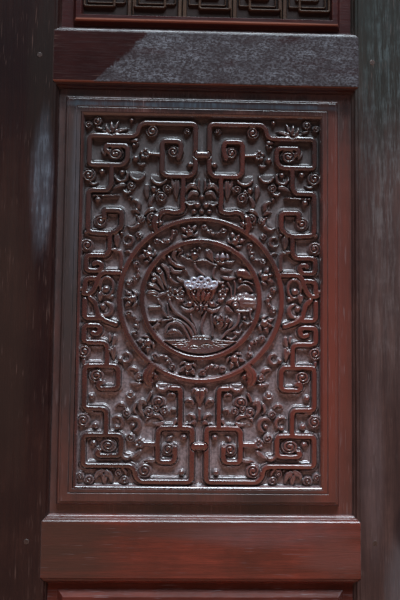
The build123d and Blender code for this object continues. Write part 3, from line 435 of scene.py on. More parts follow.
def panel_board(name, cad_node, steps):
    """A board in a CAD node's box, its front face worked inwards step by step: each step is
    the half sizes and the middle of the next rectangle, and how deep it lies."""
    low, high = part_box(cad_node)
    low.y = EDGE_FACE
    bpy.ops.object.select_all(action="DESELECT")
    bpy.ops.mesh.primitive_cube_add(size=1, location=(low + high) / 2)
    piece = bpy.context.object
    piece.name = name
    piece.scale = high - low
    bpy.ops.object.transform_apply(location=True, rotation=True, scale=True)
    bpy.ops.object.mode_set(mode="EDIT")
    bpy.ops.mesh.select_mode(type="FACE")
    bpy.ops.mesh.select_all(action="DESELECT")
    bpy.ops.object.mode_set(mode="OBJECT")
    for face in piece.data.polygons:
        face.select = face.normal.y < -0.9
    for half_x, half_z, middle, level in steps:
        bpy.ops.object.mode_set(mode="EDIT")
        bpy.ops.mesh.inset(thickness=0.5 * MM, depth=0)
        bpy.ops.object.mode_set(mode="OBJECT")
        front = [face for face in piece.data.polygons if face.select][0]
        for index in front.vertices:
            corner = piece.data.vertices[index]
            side_x = 1 if corner.co.x > front.center.x else -1
            side_z = 1 if corner.co.z > front.center.z else -1
            corner.co = (middle[0] + side_x * half_x * MM, level, middle[1] + side_z * half_z * MM)
    ease_edges(piece, 0.45 * MM, 20)
    smooth_flats(piece)
    return piece


SCRIBE = 1.4 * MM
STEP = 1.8 * MM
PANEL_MIDDLE = (-5.5 * MM, 778 * MM)
SINK_MIDDLE = (-6 * MM, 777 * MM)
skirt_board = panel_board("skirt_board", "carved_panel", [
    (208.5, 306, PANEL_MIDDLE, EDGE_FACE),
    (207.3, 304.8, PANEL_MIDDLE, EDGE_FACE - 5.6 * MM),
    (205.4, 302.9, PANEL_MIDDLE, EDGE_FACE - 8 * MM),
    (202.8, 300.3, PANEL_MIDDLE, FIELD_FACE + STEP),
    (202.4, 299.9, PANEL_MIDDLE, FIELD_FACE),
    (191.3, 288.8, PANEL_MIDDLE, FIELD_FACE),
    (190.5, 288, PANEL_MIDDLE, FIELD_FACE + SCRIBE),
    (189.7, 287.2, PANEL_MIDDLE, FIELD_FACE),
    (184, 281.5, SINK_MIDDLE, FIELD_FACE),
    (183.6, 281.1, SINK_MIDDLE, GROUND + 0.5 * MM),
])
border_finish = lacquer(
    "skirt border lacquer", paint(58, 38, 35), paint(98, 56, 48), "z", shine=0.28, streaks=0.35,
    coat=0.2, gloss=0.6, wear=0.6, worn=paint(138, 118, 118),
    patches_and_painted_light=[
        # Painted light: redder warm light at the right, painted shade at the left and along the top, and
        # bluish painted reflections of the sky on the left strip and the top band
        ((0.19, FIELD_FACE, 0.66), (0.04, 0.05, 0.44), paint(116, 56, 45), 0.95, 0.3, 0),
        ((-0.2, FIELD_FACE, 0.85), (0.035, 0.05, 0.34), paint(54, 46, 45), 0.85, 0.4, 0),
        ((-0.196, FIELD_FACE, 0.93), (0.008, 0.012, 0.16), paint(84, 84, 92), 0.7, 0.36, 0.6),
        ((0.02, FIELD_FACE, 1.074), (0.34, 0.05, 0.02), paint(36, 25, 25), 0.9, 0.16, 0),
        ((-0.04, FIELD_FACE, 1.0705), (0.3, 0.012, 0.0055), paint(92, 112, 126), 0.6, 0.26, 0.7),
    ],
)


def painted_corner_shade(material, reach, strength):
    """Painted shade: black in the narrow corners, with no gloss left on it."""
    tree = material.node_tree
    place = node(tree, "ShaderNodeTexCoord").outputs["Object"]
    corners = grouped(tree, dust_group, Place=place, Reach=reach)["Nook"]
    shade_mask = maths(tree, "MULTIPLY", corners, strength)
    laid_over(material, shade_mask, {"Base Color": paint(14, 9, 8), "Roughness": 0.8, "Coat Weight": 0.0})


# Painted shade in the border's corners and its scribed line
painted_corner_shade(border_finish, 4 * MM, 0.95)
hand_over(skirt_board, "leaf", "carved_timber", border_finish, "carved_panel")


# The carving itself, cut in the same board: an angular fret with curled ends, tied
# with blossoms and leaves, round two rings. It is worked here as a carver does, line
# by line down to the ground, with v up and u to the right from the middle of the rings.

RING_X = -5.3 * MM
RING_Z = 775.5 * MM
RIB = 4.1
RIB_TOP = 8.6
SHOULDER = 1.9
LEDGE = 8.6
LEDGE_TOP = 3.6
OUTER_RING = 121.5
INNER_RING = 88
SLAB = 1.6 * MM


def new_ground(u0, u1, v0, v1, cell):
    """A flat ground of square cells, in millimetres."""
    us = np.linspace(u0, u1, round((u1 - u0) / cell) + 1)
    vs = np.linspace(v0, v1, round((v1 - v0) / cell) + 1)
    across, up = np.meshgrid(us, vs)
    return {"us": us, "vs": vs, "across": across, "up": up, "height": np.zeros_like(across)}


def patch_of(ground, points, reach):
    """The part of the ground near some points."""
    us, vs = zip(*points)
    rows = slice(*np.searchsorted(ground["vs"], (min(vs) - reach, max(vs) + reach)))
    columns = slice(*np.searchsorted(ground["us"], (min(us) - reach, max(us) + reach)))
    return rows, columns


def round_patch(ground, u, v, reach):
    """The part of the ground near a point, with each cell's distance from it."""
    where = patch_of(ground, [(u, v)], reach)
    return where, np.hypot(ground["across"][where] - u, ground["up"][where] - v)


def lay(ground, where, form, gap=0, top=0, moat=0):
    """Leaves a form standing. A fine cut, the moat, parts it from lower work beside it."""
    there = ground["height"][where]
    if moat:
        cut = np.clip(1 - gap / moat, 0, 1) * (gap > 0) * (there < top * 1.02)
        there = there * (1 - 0.5 * cut)
    ground["height"][where] = np.maximum(there, form)


def along_line(ground, where, points):
    """For each cell: the distance to a line, and the share of the line gone by."""
    u, v = ground["across"][where], ground["up"][where]
    spans = [math.dist(a, b) for a, b in zip(points, points[1:])]
    best = np.full(u.shape, 1e9)
    share = np.zeros(u.shape)
    gone = 0.0
    for a, b, span in zip(points, points[1:], spans):
        if span < 1e-6:
            continue
        du, dv = (b[0] - a[0]) / span, (b[1] - a[1]) / span
        run = np.clip((u - a[0]) * du + (v - a[1]) * dv, 0, span)
        away = np.hypot(u - a[0] - run * du, v - a[1] - run * dv)
        nearer = away < best
        best = np.where(nearer, away, best)
        share = np.where(nearer, (gone + run) / sum(spans), share)
        gone += span
    return best, share


def soft_line(points, steps=6):
    """A line through the points with no corners, for stems and leaves."""
    if len(points) < 3:
        return points
    ends = [points[0], *points, points[-1]]
    line = []
    for p0, p1, p2, p3 in zip(ends, ends[1:], ends[2:], ends[3:]):
        for i in range(steps):
            t = i / steps
            line.append(tuple(
                0.5 * (2 * b + (c - a) * t + (2 * a - 5 * b + 4 * c - d) * t * t
                       + (3 * b - a - 3 * c + d) * t ** 3)
                for a, b, c, d in zip(p0, p1, p2, p3)
            ))
    return line + [points[-1]]


def eased_line(points, radius):
    """A line of straight runs with its corners rounded off."""
    line = [points[0]]
    for a, b, c in zip(points, points[1:], points[2:]):
        back, on = math.dist(a, b), math.dist(b, c)
        cut = min(radius, back * 0.45, on * 0.45)
        start = [b[k] + (a[k] - b[k]) * cut / back for k in (0, 1)]
        end = [b[k] + (c[k] - b[k]) * cut / on for k in (0, 1)]
        for i in range(5):
            t = i / 4
            line.append(tuple(
                (1 - t) ** 2 * start[k] + 2 * t * (1 - t) * b[k] + t * t * end[k] for k in (0, 1)
            ))
    return line + [points[-1]]


def crowned(away, half, top, shoulder):
    """The section of a rib: a nearly flat crown, sloped shoulders and steep sides."""
    flat = half - shoulder
    crown = top - 0.3 * np.clip(away / half, 0, 1) ** 2
    over = np.clip((away - flat) / shoulder, 0, 1)
    return np.where(away < half, crown - shoulder * (0.6 * over + 0.4 * over ** 5), 0)


def ledge_form(away, half):
    """The ledge beside a rib: a cut at the rib's foot, then a slope to a small upright edge."""
    return LEDGE_TOP * np.interp(
        away, [0, half + 0.2, half + 1.5, LEDGE - 0.6, LEDGE], [0.3, 0.3, 1, 0.3, 0],
    )


def rib(ground, points, half=RIB, top=RIB_TOP, ledge=True, corner=7, moat=0.0):
    """A rib of the fret on its low ledge."""
    line = eased_line(points, corner)
    where = patch_of(ground, line, LEDGE + 2)
    away = along_line(ground, where, line)[0]
    if ledge:
        lay(ground, where, ledge_form(away, half))
    lay(ground, where, crowned(away, half, top, min(SHOULDER, half)), away - half, top, moat)


# How the half width changes along a stroke: shares of its run, and of its half width there
SHAPES = {
    "leaf": ([0, 0.12, 0.4, 0.72, 1], [0.2, 0.8, 1, 0.66, 0.08]),
    "petal": ([0, 0.3, 0.65, 0.88, 1], [0.4, 0.75, 1, 0.9, 0.55]),
    "horn": ([0, 0.15, 0.5, 0.85, 1], [0.25, 0.75, 1, 0.75, 0.25]),
    "stem": ([0, 1], [1, 0.85]),
}


def stroke(ground, points, half, top, shape="leaf", vein=0.0, moat=1.4, soft=True):
    """One form left by the gouge along a line: a leaf, a petal, a horn or a stem."""
    line = soft_line(points) if soft else points
    where = patch_of(ground, line, half + moat + 1)
    away, share = along_line(ground, where, line)
    width = half * np.interp(share, *SHAPES[shape])
    x = np.clip(away / np.maximum(width, 0.05), 0, 1)
    rise = top * np.clip(width / half, 0, 1) ** 0.3
    form = rise * (1 - x ** 3) ** 0.5
    if vein:
        form = form - vein * np.exp(-(away / 0.8) ** 2) * (x < 0.9)
    lay(ground, where, np.maximum(form, 0), away - width, top, moat)


def bead(ground, u, v, radius, top=8.0, moat=1.4):
    """A round boss."""
    where, away = round_patch(ground, u, v, radius + moat + 1)
    x = np.clip(away / radius, 0, 1)
    lay(ground, where, top * np.sqrt(1 - x ** 2.4), away - radius, top, moat)


def arc_points(u, v, radius, start, sweep, inner=None, wide=1.0):
    """Points on an arc, or on a spiral where the inner radius is given."""
    inner = radius if inner is None else inner
    steps = max(4, round(abs(sweep) / 15))
    points = []
    for i in range(steps + 1):
        t = i / steps
        turn = math.radians(start + sweep * t)
        reach = radius + (inner - radius) * t
        points.append((u + wide * reach * math.cos(turn), v + reach * math.sin(turn)))
    return points


def coil(ground, u, v, radius, start, sweep, wide=1.0, top=8.2):
    """A rolled end or rosette: a low dome, with a spiral cut down to its round eye."""
    where = patch_of(ground, [(u, v)], radius * wide + 3)
    across, up = (ground["across"][where] - u) / wide, ground["up"][where] - v
    away = np.hypot(across, up)
    x = np.clip(away / radius, 0, 1)
    dome = (top - 1.2 + 1.2 * (1 - x)) * (1 - x ** 6) ** 0.5
    line = arc_points(u, v, radius * 0.98, start, sweep * 1.3, radius * 0.2, wide)
    groove = along_line(ground, where, line)[0]
    dome = dome - 3.2 * np.exp(-(groove / 0.85) ** 2) * (x < 1)
    lay(ground, where, np.maximum(dome, 0), away - radius, top, 1.4)
    bead(ground, u, v, radius * 0.17, top, 0)


def crescent(ground, u, v, radius, start, sweep, half, top=7.4, floor=3.4):
    """A curled leaf: a hollow dish with a rim thick in its middle and thin at both ends."""
    where, away = round_patch(ground, u, v, radius)
    dish = floor * np.clip((radius - half - away) / 1.2 + 1, 0, 1)
    middle = math.radians(start + sweep / 2)
    side = (ground["across"][where] - u) * math.cos(middle) + (ground["up"][where] - v) * math.sin(middle)
    dish = dish * np.clip((side + radius * 0.2) / 3, 0, 1)
    lay(ground, where, dish)
    stroke(ground, arc_points(u, v, radius - half, start, sweep), half, top, "horn", soft=False)


def blossom(ground, u, v, radius, top, petals=5):
    """A small open flower: full lobed petals round a sunk eye."""
    for i in range(petals):
        turn = math.radians(20 + 360 * i / petals)
        petal_u, petal_v = u + radius * 0.6 * math.cos(turn), v + radius * 0.6 * math.sin(turn)
        bead(ground, petal_u, petal_v, radius * 0.56, top * 0.88, 0.7)
    where, away = round_patch(ground, u, v, radius)
    ground["height"][where] *= 1 - 0.4 * np.clip(1.5 - away / (radius * 0.42), 0, 1)
    bead(ground, u, v, radius * 0.32, top, 0)


def ring(ground, radius):
    """One of the two rings, a round rib on a low ledge."""
    away = np.abs(np.hypot(ground["across"], ground["up"]) - radius)
    everywhere = slice(None)
    lay(ground, everywhere, ledge_form(away + 1.6, RIB))
    lay(ground, everywhere, crowned(away, RIB, RIB_TOP, SHOULDER))


def soften(ground, amount=0.1):
    """The light rounding that many coats of lacquer give to the cuts, across and then up."""
    for turn in ("across", "up"):
        before = ground["height"].T if turn == "across" else ground["height"]
        after = before.copy()
        after[1:-1] = amount * before[:-2] + (1 - 2 * amount) * before[1:-1] + amount * before[2:]
        ground["height"] = after.T if turn == "across" else after


def carved_piece(name, ground, kept, middle_x, middle_z, share):
    """The kept cells of the carved surface as a closed slab, its triangles thinned to a share
    where it is flat."""
    rows, columns = ground["height"].shape
    number = np.arange(rows * columns).reshape(rows, columns)
    corners = np.stack(
        [number[:-1, :-1], number[:-1, 1:], number[1:, 1:], number[1:, :-1]], axis=-1
    )[kept]
    used, faces = np.unique(corners, return_inverse=True)
    points = np.stack([
        middle_x + ground["across"].ravel() * MM, GROUND - ground["height"].ravel() * MM,
        middle_z + ground["up"].ravel() * MM,
    ], axis=-1)[used]
    mesh = bpy.data.meshes.new(name)
    mesh.from_pydata(points.tolist(), [], faces.reshape(-1, 4).tolist())
    mesh.update()
    piece = added(name, mesh)
    apply_modifier(piece, "DECIMATE", ratio=share)
    bpy.ops.object.mode_set(mode="EDIT")
    bpy.ops.mesh.select_mode(type="EDGE")
    bpy.ops.mesh.select_all(action="DESELECT")
    bpy.ops.mesh.select_non_manifold(
        extend=False, use_wire=False, use_multi_face=False, use_non_contiguous=False, use_verts=False,
    )
    bpy.ops.mesh.extrude_edges_move()
    bpy.ops.transform.resize(value=(1, 0, 1), center_override=(0, GROUND + SLAB, 0))
    bpy.ops.mesh.edge_face_add()
    bpy.ops.object.mode_set(mode="OBJECT")
    smooth_flats(piece, 75, 70)
    return piece


# The ribs of the fret's right-hand half, each point its u and v
FRET_RIBS = [
    [(36, 215), (33, 221), (33, 240.5), (61, 240.5), (61, 193), (54, 187), (18, 187),
     (10.5, 194), (10.5, 267.5), (90, 267.5), (96, 262), (98, 252), (104, 247), (171, 247), (171, 202),
     (121, 202), (113.5, 209), (113.5, 232), (145, 232), (147, 227), (143, 222)],
    [(28.5, 186), (28.5, 170), (29.5, 158), (28, 133), (43, 131), (52, 133.5), (60, 131), (65, 124),
     (65.5, 112)],
    [(137, 201), (137, 171), (142, 163), (170.5, 163), (170.5, 99), (137, 97), (127, 101), (120.5, 108),
     (120.5, 133), (145, 133), (148, 129), (146, 122)],
    [(137.5, 98), (137.5, 70), (143, 64), (172, 64), (172, 41), (153, 41), (148.5, 45), (149, 51),
     (155, 54), (160, 51)],
    [(123, 38.5), (145, 38.5), (152, 33), (156, 20), (160, 11), (167, 5.5), (175, 7)],
    [(155, 29.5), (172.5, 29), (173, 12)],
    [(165, 0), (158, -6), (155, -16), (153, -26), (143, -33), (126, -39)],
    [(173, -3), (173, -30), (153, -30)],
    [(160, -52), (154, -54), (149, -50), (149, -44), (153, -41), (173, -41), (173, -66), (143, -66),
     (138, -71), (138, -99)],
    [(147, -124), (151, -129), (147, -134), (121, -134), (121, -106), (126, -100.5), (170.5, -100.5),
     (170.5, -163.5), (142, -163.5), (137.5, -168), (137.5, -200)],
    [(147, -225), (150, -229), (146, -232), (115, -232), (115, -202), (170.5, -202), (170.5, -246.5),
     (102, -246.5), (95, -251), (93, -262), (86, -269.5), (10.5, -269.5), (10.5, -191), (55, -191),
     (61, -196), (61, -241), (36, -241), (36, -220)],
    [(42, -133), (31, -133), (28.5, -138), (28.5, -188)],
]
# Thinner ribs that tie the fret to itself and to the outer ring
TIE_RIBS = [
    ([(61, 219.5), (82, 220.5)], 2.8), ([(61, -215), (82, -215)], 4),
    ([(131, 73), (122, 71), (119, 63), (120, 46)], 3.4), ([(172, -88), (172, -98)], 2.4),
    ([(72, -140), (77, -151)], 2.6), ([(0, -150), (0, -178)], 2.8), ([(126, 155.5), (164, 154.5)], 1.4),
]
# Rolled ends and rosettes: middle, radius, where the spiral starts, its turn and its width
COILS = [
    (44.5, 224, 10.5, 200, 560, 1), (131, 219.5, 11.5, 40, -560, 1.18), (152, 116.5, 11, 120, 560, 1),
    (46, -222, 10.5, 165, -560, 1), (134, -217, 11.5, -60, 560, 1.2), (171, 186, 11.5, 240, 540, 1),
    (171, 79, 11, 90, 540, 1), (172, -79, 11, 250, -540, 1), (153, -115, 11, 210, -540, 1.15),
    (171, -181, 11.5, 130, 540, 1), (80, -253, 12, 200, -540, 1), (76.5, 255.5, 10.5, 210, -540, 1),
    (160, 269, 8, 200, 460, 1), (173, 263, 6.5, 20, -460, 1), (161, -267, 8, 160, -460, 1),
    (174, -261.5, 6.5, -20, 460, 1), (61, 154, 9.5, 120, 500, 1), (75, 122, 9.5, 60, -480, 1),
    (60.5, -153, 10.5, 60, 520, 1.1), (76, -119, 9.5, 300, 480, 1), (109, -267.5, 7, 100, 460, 1),
    (23.5, 256.5, 6, 0, 420, 1),
]
# Curled leaves: middle, radius, where the rim starts, its turn and half width
CRESCENTS = [
    (65, 187, 16, 190, 165, 3.6), (98, 191, 14.5, 175, 190, 3.2), (122, 186.5, 12.5, 120, 255, 3.2),
    (113, 165, 8.5, 175, 190, 3.2), (103, 141, 12.5, 70, 205, 4.4), (104, 117, 14, 110, 205, 3.8),
    (110, 88, 10, 40, 300, 3), (105, 236, 9, 60, 190, 3.2), (55, -126, 14, 190, 160, 4.2),
    (42, -147, 9, 15, 160, 2.8), (67, -184, 17, 10, 165, 4.4), (98, -186, 14, 35, 235, 4.2),
    (122, -183, 12, 40, 235, 3.4), (117, -163, 10, 5, 175, 3.2), (102, -141, 10, 180, 185, 4.2),
    (101, -112, 13, 45, 190, 4.2), (110, -88, 10.5, 50, 300, 3.4), (106, -228, 12, 195, 175, 4.2),
    (115, -259, 11, 15, 195, 3), (142, -16, 14, 65, 250, 4.4), (16, -156, 9.5, 20, 190, 3.2),
    (14, -178, 10, 50, 240, 3.2), (39, -168, 7, -60, 240, 2.6), (17, 150, 10, 200, 150, 2.6),
]
BLOSSOMS = [
    (86.5, 220.5, 8.5, 5), (90.5, -117, 7, 5), (52, -166, 7, 5), (64, -163.5, 6, 5), (75, -167, 7, 5),
    (107, 171, 7, 5), (108, -170, 6.5, 5), (118, -257, 6, 4), (91, 120, 6, 5), (53, 167.5, 7, 5),
    (88, -213.5, 8, 5), (94, 96, 5.5, 5), (102, -205.5, 7.5, 6),
]
BEADS = [
    (18.5, 205, 5.2), (101, 213, 5.6), (121, 190.5, 5), (151.5, 191.5, 5.4), (108, 271.5, 4.2),
    (177, 13, 4.4), (73, 167, 5), (0, 155, 4.4), (6.5, 143, 5.4), (-6.5, 143, 5.4), (0, 133, 4.4),
    (11.5, 133, 4.4), (156.5, 148.5, 5.6), (120, 98, 3.2), (119, -91, 4.4), (144, -126, 4.4),
    (159.5, -146, 5.4), (122, -190.5, 4.6), (153.5, -188, 5.6), (23, -205, 5.2), (25.5, -256, 5.2),
    (8, -183, 4.5), (173, 98, 4), (98, -188, 4.4), (102.5, -141, 4.4), (141.5, 13, 6.6), (146, -12.5, 5.4),
    (155, -214.5, 5), (108, 153, 3), (104, 233, 3.4),
]
# Leaves: their line, half width, height and the depth of the vein
LEAVES = [
    ([(38, 183), (39, 168), (38, 150)], 7, 7.2, 1.6), ([(46, 184), (45, 172), (50, 158)], 3.2, 6.4, 0),
    ([(64, 168), (69, 161), (78, 168)], 4, 7.4, 0.8), ([(83, 176), (84, 162), (80, 149)], 5.2, 7, 1.2),
    ([(70, 160), (78, 146), (74, 137), (65, 134)], 4, 7.2, 0.8),
    ([(3, 163), (13, 173), (21, 170), (26, 158)], 5.4, 7.6, 1),
    ([(4, 158), (14, 162), (23, 150)], 4.6, 7, 0.8),
    ([(4, 184), (5, 172), (2, 160)], 2.6, 7, 0), ([(10, 184), (12, 175), (5, 164)], 2.4, 6.4, 0),
    ([(135, 250), (131, 262), (127, 273)], 3.6, 8, 0.6),
    ([(137, 250), (138, 262), (139, 271)], 4, 8.6, 0.6),
    ([(139, 250), (145, 258), (147, 268)], 3.4, 8, 0.6),
    ([(134, 251), (124, 256), (112, 259)], 4.4, 7.6, 1),
    ([(140, 251), (149, 254), (157, 258)], 3.2, 7, 0.6),
    ([(144, 216), (150, 221), (153, 229)], 3.4, 7, 0.6),
    ([(170, 176), (164, 172), (156, 176)], 3.4, 7, 0),
    ([(114, 172), (124, 171), (136, 165)], 4.2, 7.2, 0.8),
    ([(127, 99), (127, 86), (126, 74)], 6, 7.8, 1.4), ([(179, 97), (180, 88), (177, 79)], 3, 6.4, 0),
    ([(58, 117), (67, 112), (80, 111)], 5, 10, 0.8), ([(70, 136), (79, 134), (87, 126)], 4.6, 7.4, 1),
    ([(150, 10), (150, 2), (150, -6)], 5.6, 7.8, 1),
    ([(129, -69), (129, -80), (128, -93)], 6, 7.8, 1.4),
    ([(128, -53), (128, -62), (131, -73)], 4.6, 7.4, 0.6),
    ([(136, -52), (134, -60), (136, -68)], 3.2, 7, 0.6),
    ([(62, -119), (71, -112), (82, -106)], 4.6, 10, 0.8),
    ([(34, -176), (36, -184), (41, -188)], 3.4, 7, 0.8),
    ([(78, -157), (86, -152), (88, -163), (80, -177)], 4.8, 7.6, 1.2),
    ([(52, -182), (60, -186), (70, -184)], 4.2, 7.4, 1),
    ([(62, -238), (77, -240), (91, -246)], 4.4, 7.4, 1.2),
    ([(139, -249), (139, -262), (137, -277)], 6.4, 7.8, 1.6),
    ([(140, -252), (131, -260), (127, -273)], 5.2, 7.4, 1.2),
    ([(138, -252), (148, -258), (154, -269)], 5.2, 7.4, 1.2),
    ([(170, -172), (163, -168), (154, -170)], 3.6, 7, 0.6),
    ([(46, -212), (44, -206), (38, -203)], 3.6, 7.2, 0.6),
    ([(97, 243), (104, 240), (111, 242)], 3.4, 7.4, 0.8), ([(163, 262), (156, 258), (149, 259)], 3, 6.4, 0),
    ([(86, 206), (93, 203), (99, 207)], 3.6, 7.2, 0.6), ([(94, 128), (99, 133), (107, 134)], 3.2, 7, 0.8),
    ([(110, -68), (106, -60), (112, -50)], 3.4, 6.8, 0.8),
    ([(84, -223), (93, -231), (102, -237)], 4, 7.4, 0.8),
    ([(86, -126), (94, -127), (104, -125)], 4, 7.4, 0.8),
    ([(93, -152), (97, -164), (92, -172)], 3.4, 7, 0.8),
    ([(104, 66), (109, 71), (116, 70)], 3, 6.8, 0), ([(160, -217), (157, -212), (150, -209)], 3.2, 7, 0),
    ([(130, 5), (135, 1), (142, 2)], 3.4, 7, 0),
]
# The clasps that hold the fret to the outer ring, over the ring itself
CLASPS = [
    ([(67, 130), (71, 114), (67, 101), (59, 92)], 5.6, 10.6, 1.6),
    ([(72, -131), (78, -116), (71, -101), (60, -90)], 9, 10.6, 1.8),
]
SINK_HALF_U = 183.5
SINK_LOW = -279.5
SINK_HIGH = 282.5
SINK_WALL = 5.5
SINK_DEPTH = 9.5

fret = new_ground(0, SINK_HALF_U, SINK_LOW, SINK_HIGH, cell=0.76)
for points in FRET_RIBS:
    rib(fret, points)
for points, half in TIE_RIBS:
    rib(fret, points, half, 7.6, ledge=False, moat=0.8)
for v in (220, -218):
    stroke(fret, [(-6, v), (6, v)], 7.5, 9, "stem")
stroke(fret, arc_points(140.5, 17.5, 14, 0, 360, wide=0.68), 3.2, 7.6, "stem", soft=False)
for values in CRESCENTS:
    crescent(fret, *values)
for points, half, top, vein in LEAVES:
    stroke(fret, points, half, top, "leaf", vein)
for values in COILS:
    coil(fret, *values)
for u, v, radius, petals in BLOSSOMS:
    if radius < 8:
        coil(fret, u, v, radius + 0.4, 30 * petals + 5 * u, 430, 1, 8)
    else:
        blossom(fret, u, v, radius, 8, petals)
for side in (-1, 1):
    bead(fret, side * 6, -137, 7, 8)
stroke(fret, [(0, -133), (0, -146), (0, -160)], 9, 8.6, "leaf", 1.4)
for values in BEADS:
    bead(fret, *values)
ring(fret, OUTER_RING)
for points, half, top, vein in CLASPS:
    stroke(fret, points, half, top, "leaf", vein)

# The ledges die out towards the top, and the sunk ground curves up to its walls
fade = np.interp(fret["up"], [120, 235], [1, 0.3])
fret["height"] *= np.where(fret["height"] <= LEDGE_TOP, fade, 1)
soften(fret)
to_wall = np.minimum(
    SINK_HALF_U - fret["across"], np.minimum(fret["up"] - SINK_LOW, SINK_HIGH - fret["up"])
)
wall = SINK_DEPTH * np.sqrt(1 - np.clip(to_wall / SINK_WALL, 0, 1) ** 2)
fret["height"] = np.maximum(fret["height"], wall)

# The fret and the medallion part under the crown of the outer ring
outside = np.hypot(fret["across"], fret["up"])[:-1, :-1] > OUTER_RING - 1.5
fret_right = carved_piece("fret_right", fret, outside, RING_X, RING_Z, share=0.62)

carved_finish = lacquer(
    "carved lacquer", paint(50, 24, 21), paint(86, 39, 32), "none", worn=paint(128, 92, 84), shine=0.2,
    streaks=0.3, wear=0.35, dusty=0.15, coat=1.0, gloss=0.6, rough=0.2, dust_reach=10 * MM,
    dust=paint(112, 104, 108), coat_ior=1.75,
    patches_and_painted_light=[
        # Painted shade at the upper left, and painted warm light, redder, at the lower right
        ((-0.13, GROUND - 3.5 * MM, 1.0), (0.16, 0.1, 0.2), paint(56, 30, 26), 0.7, 0.34, 0),
        ((0.12, GROUND - 3.5 * MM, 0.62), (0.18, 0.1, 0.3), paint(110, 47, 37), 0.8, 0.3, 0),
    ],
)


def dust_and_upper_shade(material, level, tone, depth=8.8 * MM):
    """Towards a level the lacquer is dull and grey with old dust, and high up it is duller still and dark
    with painted shade.
    """
    tree = material.node_tree
    place, (_, y, z) = place_and_parts(tree)
    low = maths(tree, "MULTIPLY", ramp(tree, y, level - depth, level - depth * 0.34), 0.9)
    high = ramp(tree, z, 0.7, 1.02)
    speck = ramp(tree, noise(tree, place, 260.0, 5.0, 0.75), 0.36, 0.62)
    tone = blend_colour(tree, speck, darker(tone, 0.4), tone)
    # Painted shade: the ground grows dark towards the top of the door
    tone = blend_colour(tree, maths(tree, "MULTIPLY", high, 0.84), tone, paint(32, 28, 27))
    coat = tree.nodes["Principled BSDF"].inputs["Coat Weight"].default_value
    laid_over(material, low, {
        "Base Color": tone, "Roughness": blend_value(tree, high, 0.28, 0.8),
        "Coat Weight": blend_value(tree, high, coat * 0.6, 0.0),
    })


def pale_worn_and_lit_tips(material, middle, half, strength):
    """Pale on what stands highest round a place, partly wear and partly a painted highlight: its middle and
    its half sizes, as an x and a z."""
    tree = material.node_tree
    place, (x, y, z) = place_and_parts(tree)
    mask = maths(tree, "MULTIPLY", ramp(tree, noise(tree, place, 240.0, 4.0, 0.7), 0.3, 0.56), strength)
    mask = maths(tree, "MULTIPLY", mask, ramp(tree, y, TIPS, TIPS - 1.4 * MM))
    for along, centre, reach in zip((x, z), middle, half):
        away = maths(tree, "ABSOLUTE", maths(tree, "SUBTRACT", along, centre))
        mask = maths(tree, "MULTIPLY", mask, ramp(tree, away, reach, reach * 0.72))
    laid_over(material, mask, {"Base Color": paint(184, 184, 200)})


TIPS = -19 * MM
# Grey dust on the low ground, darkened high up by painted shade
dust_and_upper_shade(carved_finish, GROUND, paint(152, 134, 136))
# Painted shade in the corners of the carving
painted_corner_shade(carved_finish, 5 * MM, 0.9)
# Painted highlights, with some wear, on the lotus's scalloped rim and on the flower above it
pale_worn_and_lit_tips(carved_finish, (RING_X, RING_Z + 29 * MM), (32 * MM, 15 * MM), 0.85)
pale_worn_and_lit_tips(carved_finish, (RING_X + 32 * MM, RING_Z + 69 * MM), (14 * MM, 7 * MM), 0.4)
hand_over(fret_right, "leaf", "carved_timber", carved_finish, "carved_panel")

# The left-hand half is the right-hand one mirrored about the middle of the rings
alone(fret_right)
bpy.ops.object.duplicate()
fret_left = bpy.context.object
fret_left.name = "fret_left"
bpy.ops.object.mode_set(mode="EDIT")
bpy.ops.mesh.select_all(action="SELECT")
bpy.ops.transform.resize(value=(-1, 1, 1), center_override=(RING_X, 0, 0))
bpy.ops.mesh.normals_make_consistent(inside=False)
bpy.ops.object.mode_set(mode="OBJECT")


# The medallion, cut in the same board: a lotus over water with its buds, leaves and
# waves inside the inner ring, and between the rings a vine that swings round in nine
# equal units of bud, rosettes and branch.

LOTUS_STEMS = [
    ([(5, -54), (2, -42), (4, -30), (8, -19), (9, -10)], 2.6),
    ([(18, -54), (18, -40), (16, -26), (20, -17)], 2.4),
    ([(-4, -54), (-9, -39), (-14, -26), (-15, -15)], 2.6),
    ([(-8, -53), (-13, -39), (-25, -28), (-37, -20), (-45, -9), (-47, 2)], 3.2),
    ([(-12, -55), (-18, -43), (-30, -34), (-44, -29), (-54, -21), (-60, -8), (-65, 2), (-72, 6)], 3.4),
    ([(-50, -8), (-48, -24)], 1.8),
    ([(58, -18), (56, -34), (48, -43), (40, -48), (32, -58)], 2.8),
    ([(-10, 60), (-9, 50), (-2, 42), (5, 36)], 2.6),
    ([(25, 54), (20, 46), (18, 38), (20, 32), (26, 28)], 2.8),
    ([(-30, 65), (-18, 60), (-5, 58), (6, 59), (14, 55), (24, 52)], 2.6),
    ([(50, 28), (52, 18), (50, 6)], 2),
    ([(40, 26), (45, 15), (46, 4)], 2),
    ([(-52, -50), (-49, -40), (-40, -35), (-30, -38), (-22, -48), (-16, -60)], 3),
    ([(-76, -13), (-61, -12)], 2.8), ([(-77, -33), (-60, -33), (-44, -31)], 2.4),
    ([(-75, -48), (-66, -38), (-58, -30)], 2), ([(56, -17), (74, -17)], 2.4),
    ([(56, 17), (62, 22), (70, 21), (77, 13)], 2.4), ([(60, 26), (68, 28), (78, 24)], 1.8),
    ([(64, -33), (71, -36), (78, -31)], 2.6), ([(40, -57), (47, -59), (53, -54), (52, -48)], 2.4),
    ([(76, -15), (74, -22), (77, -29)], 2), ([(62, -36), (59, -41), (62, -46)], 2),
]
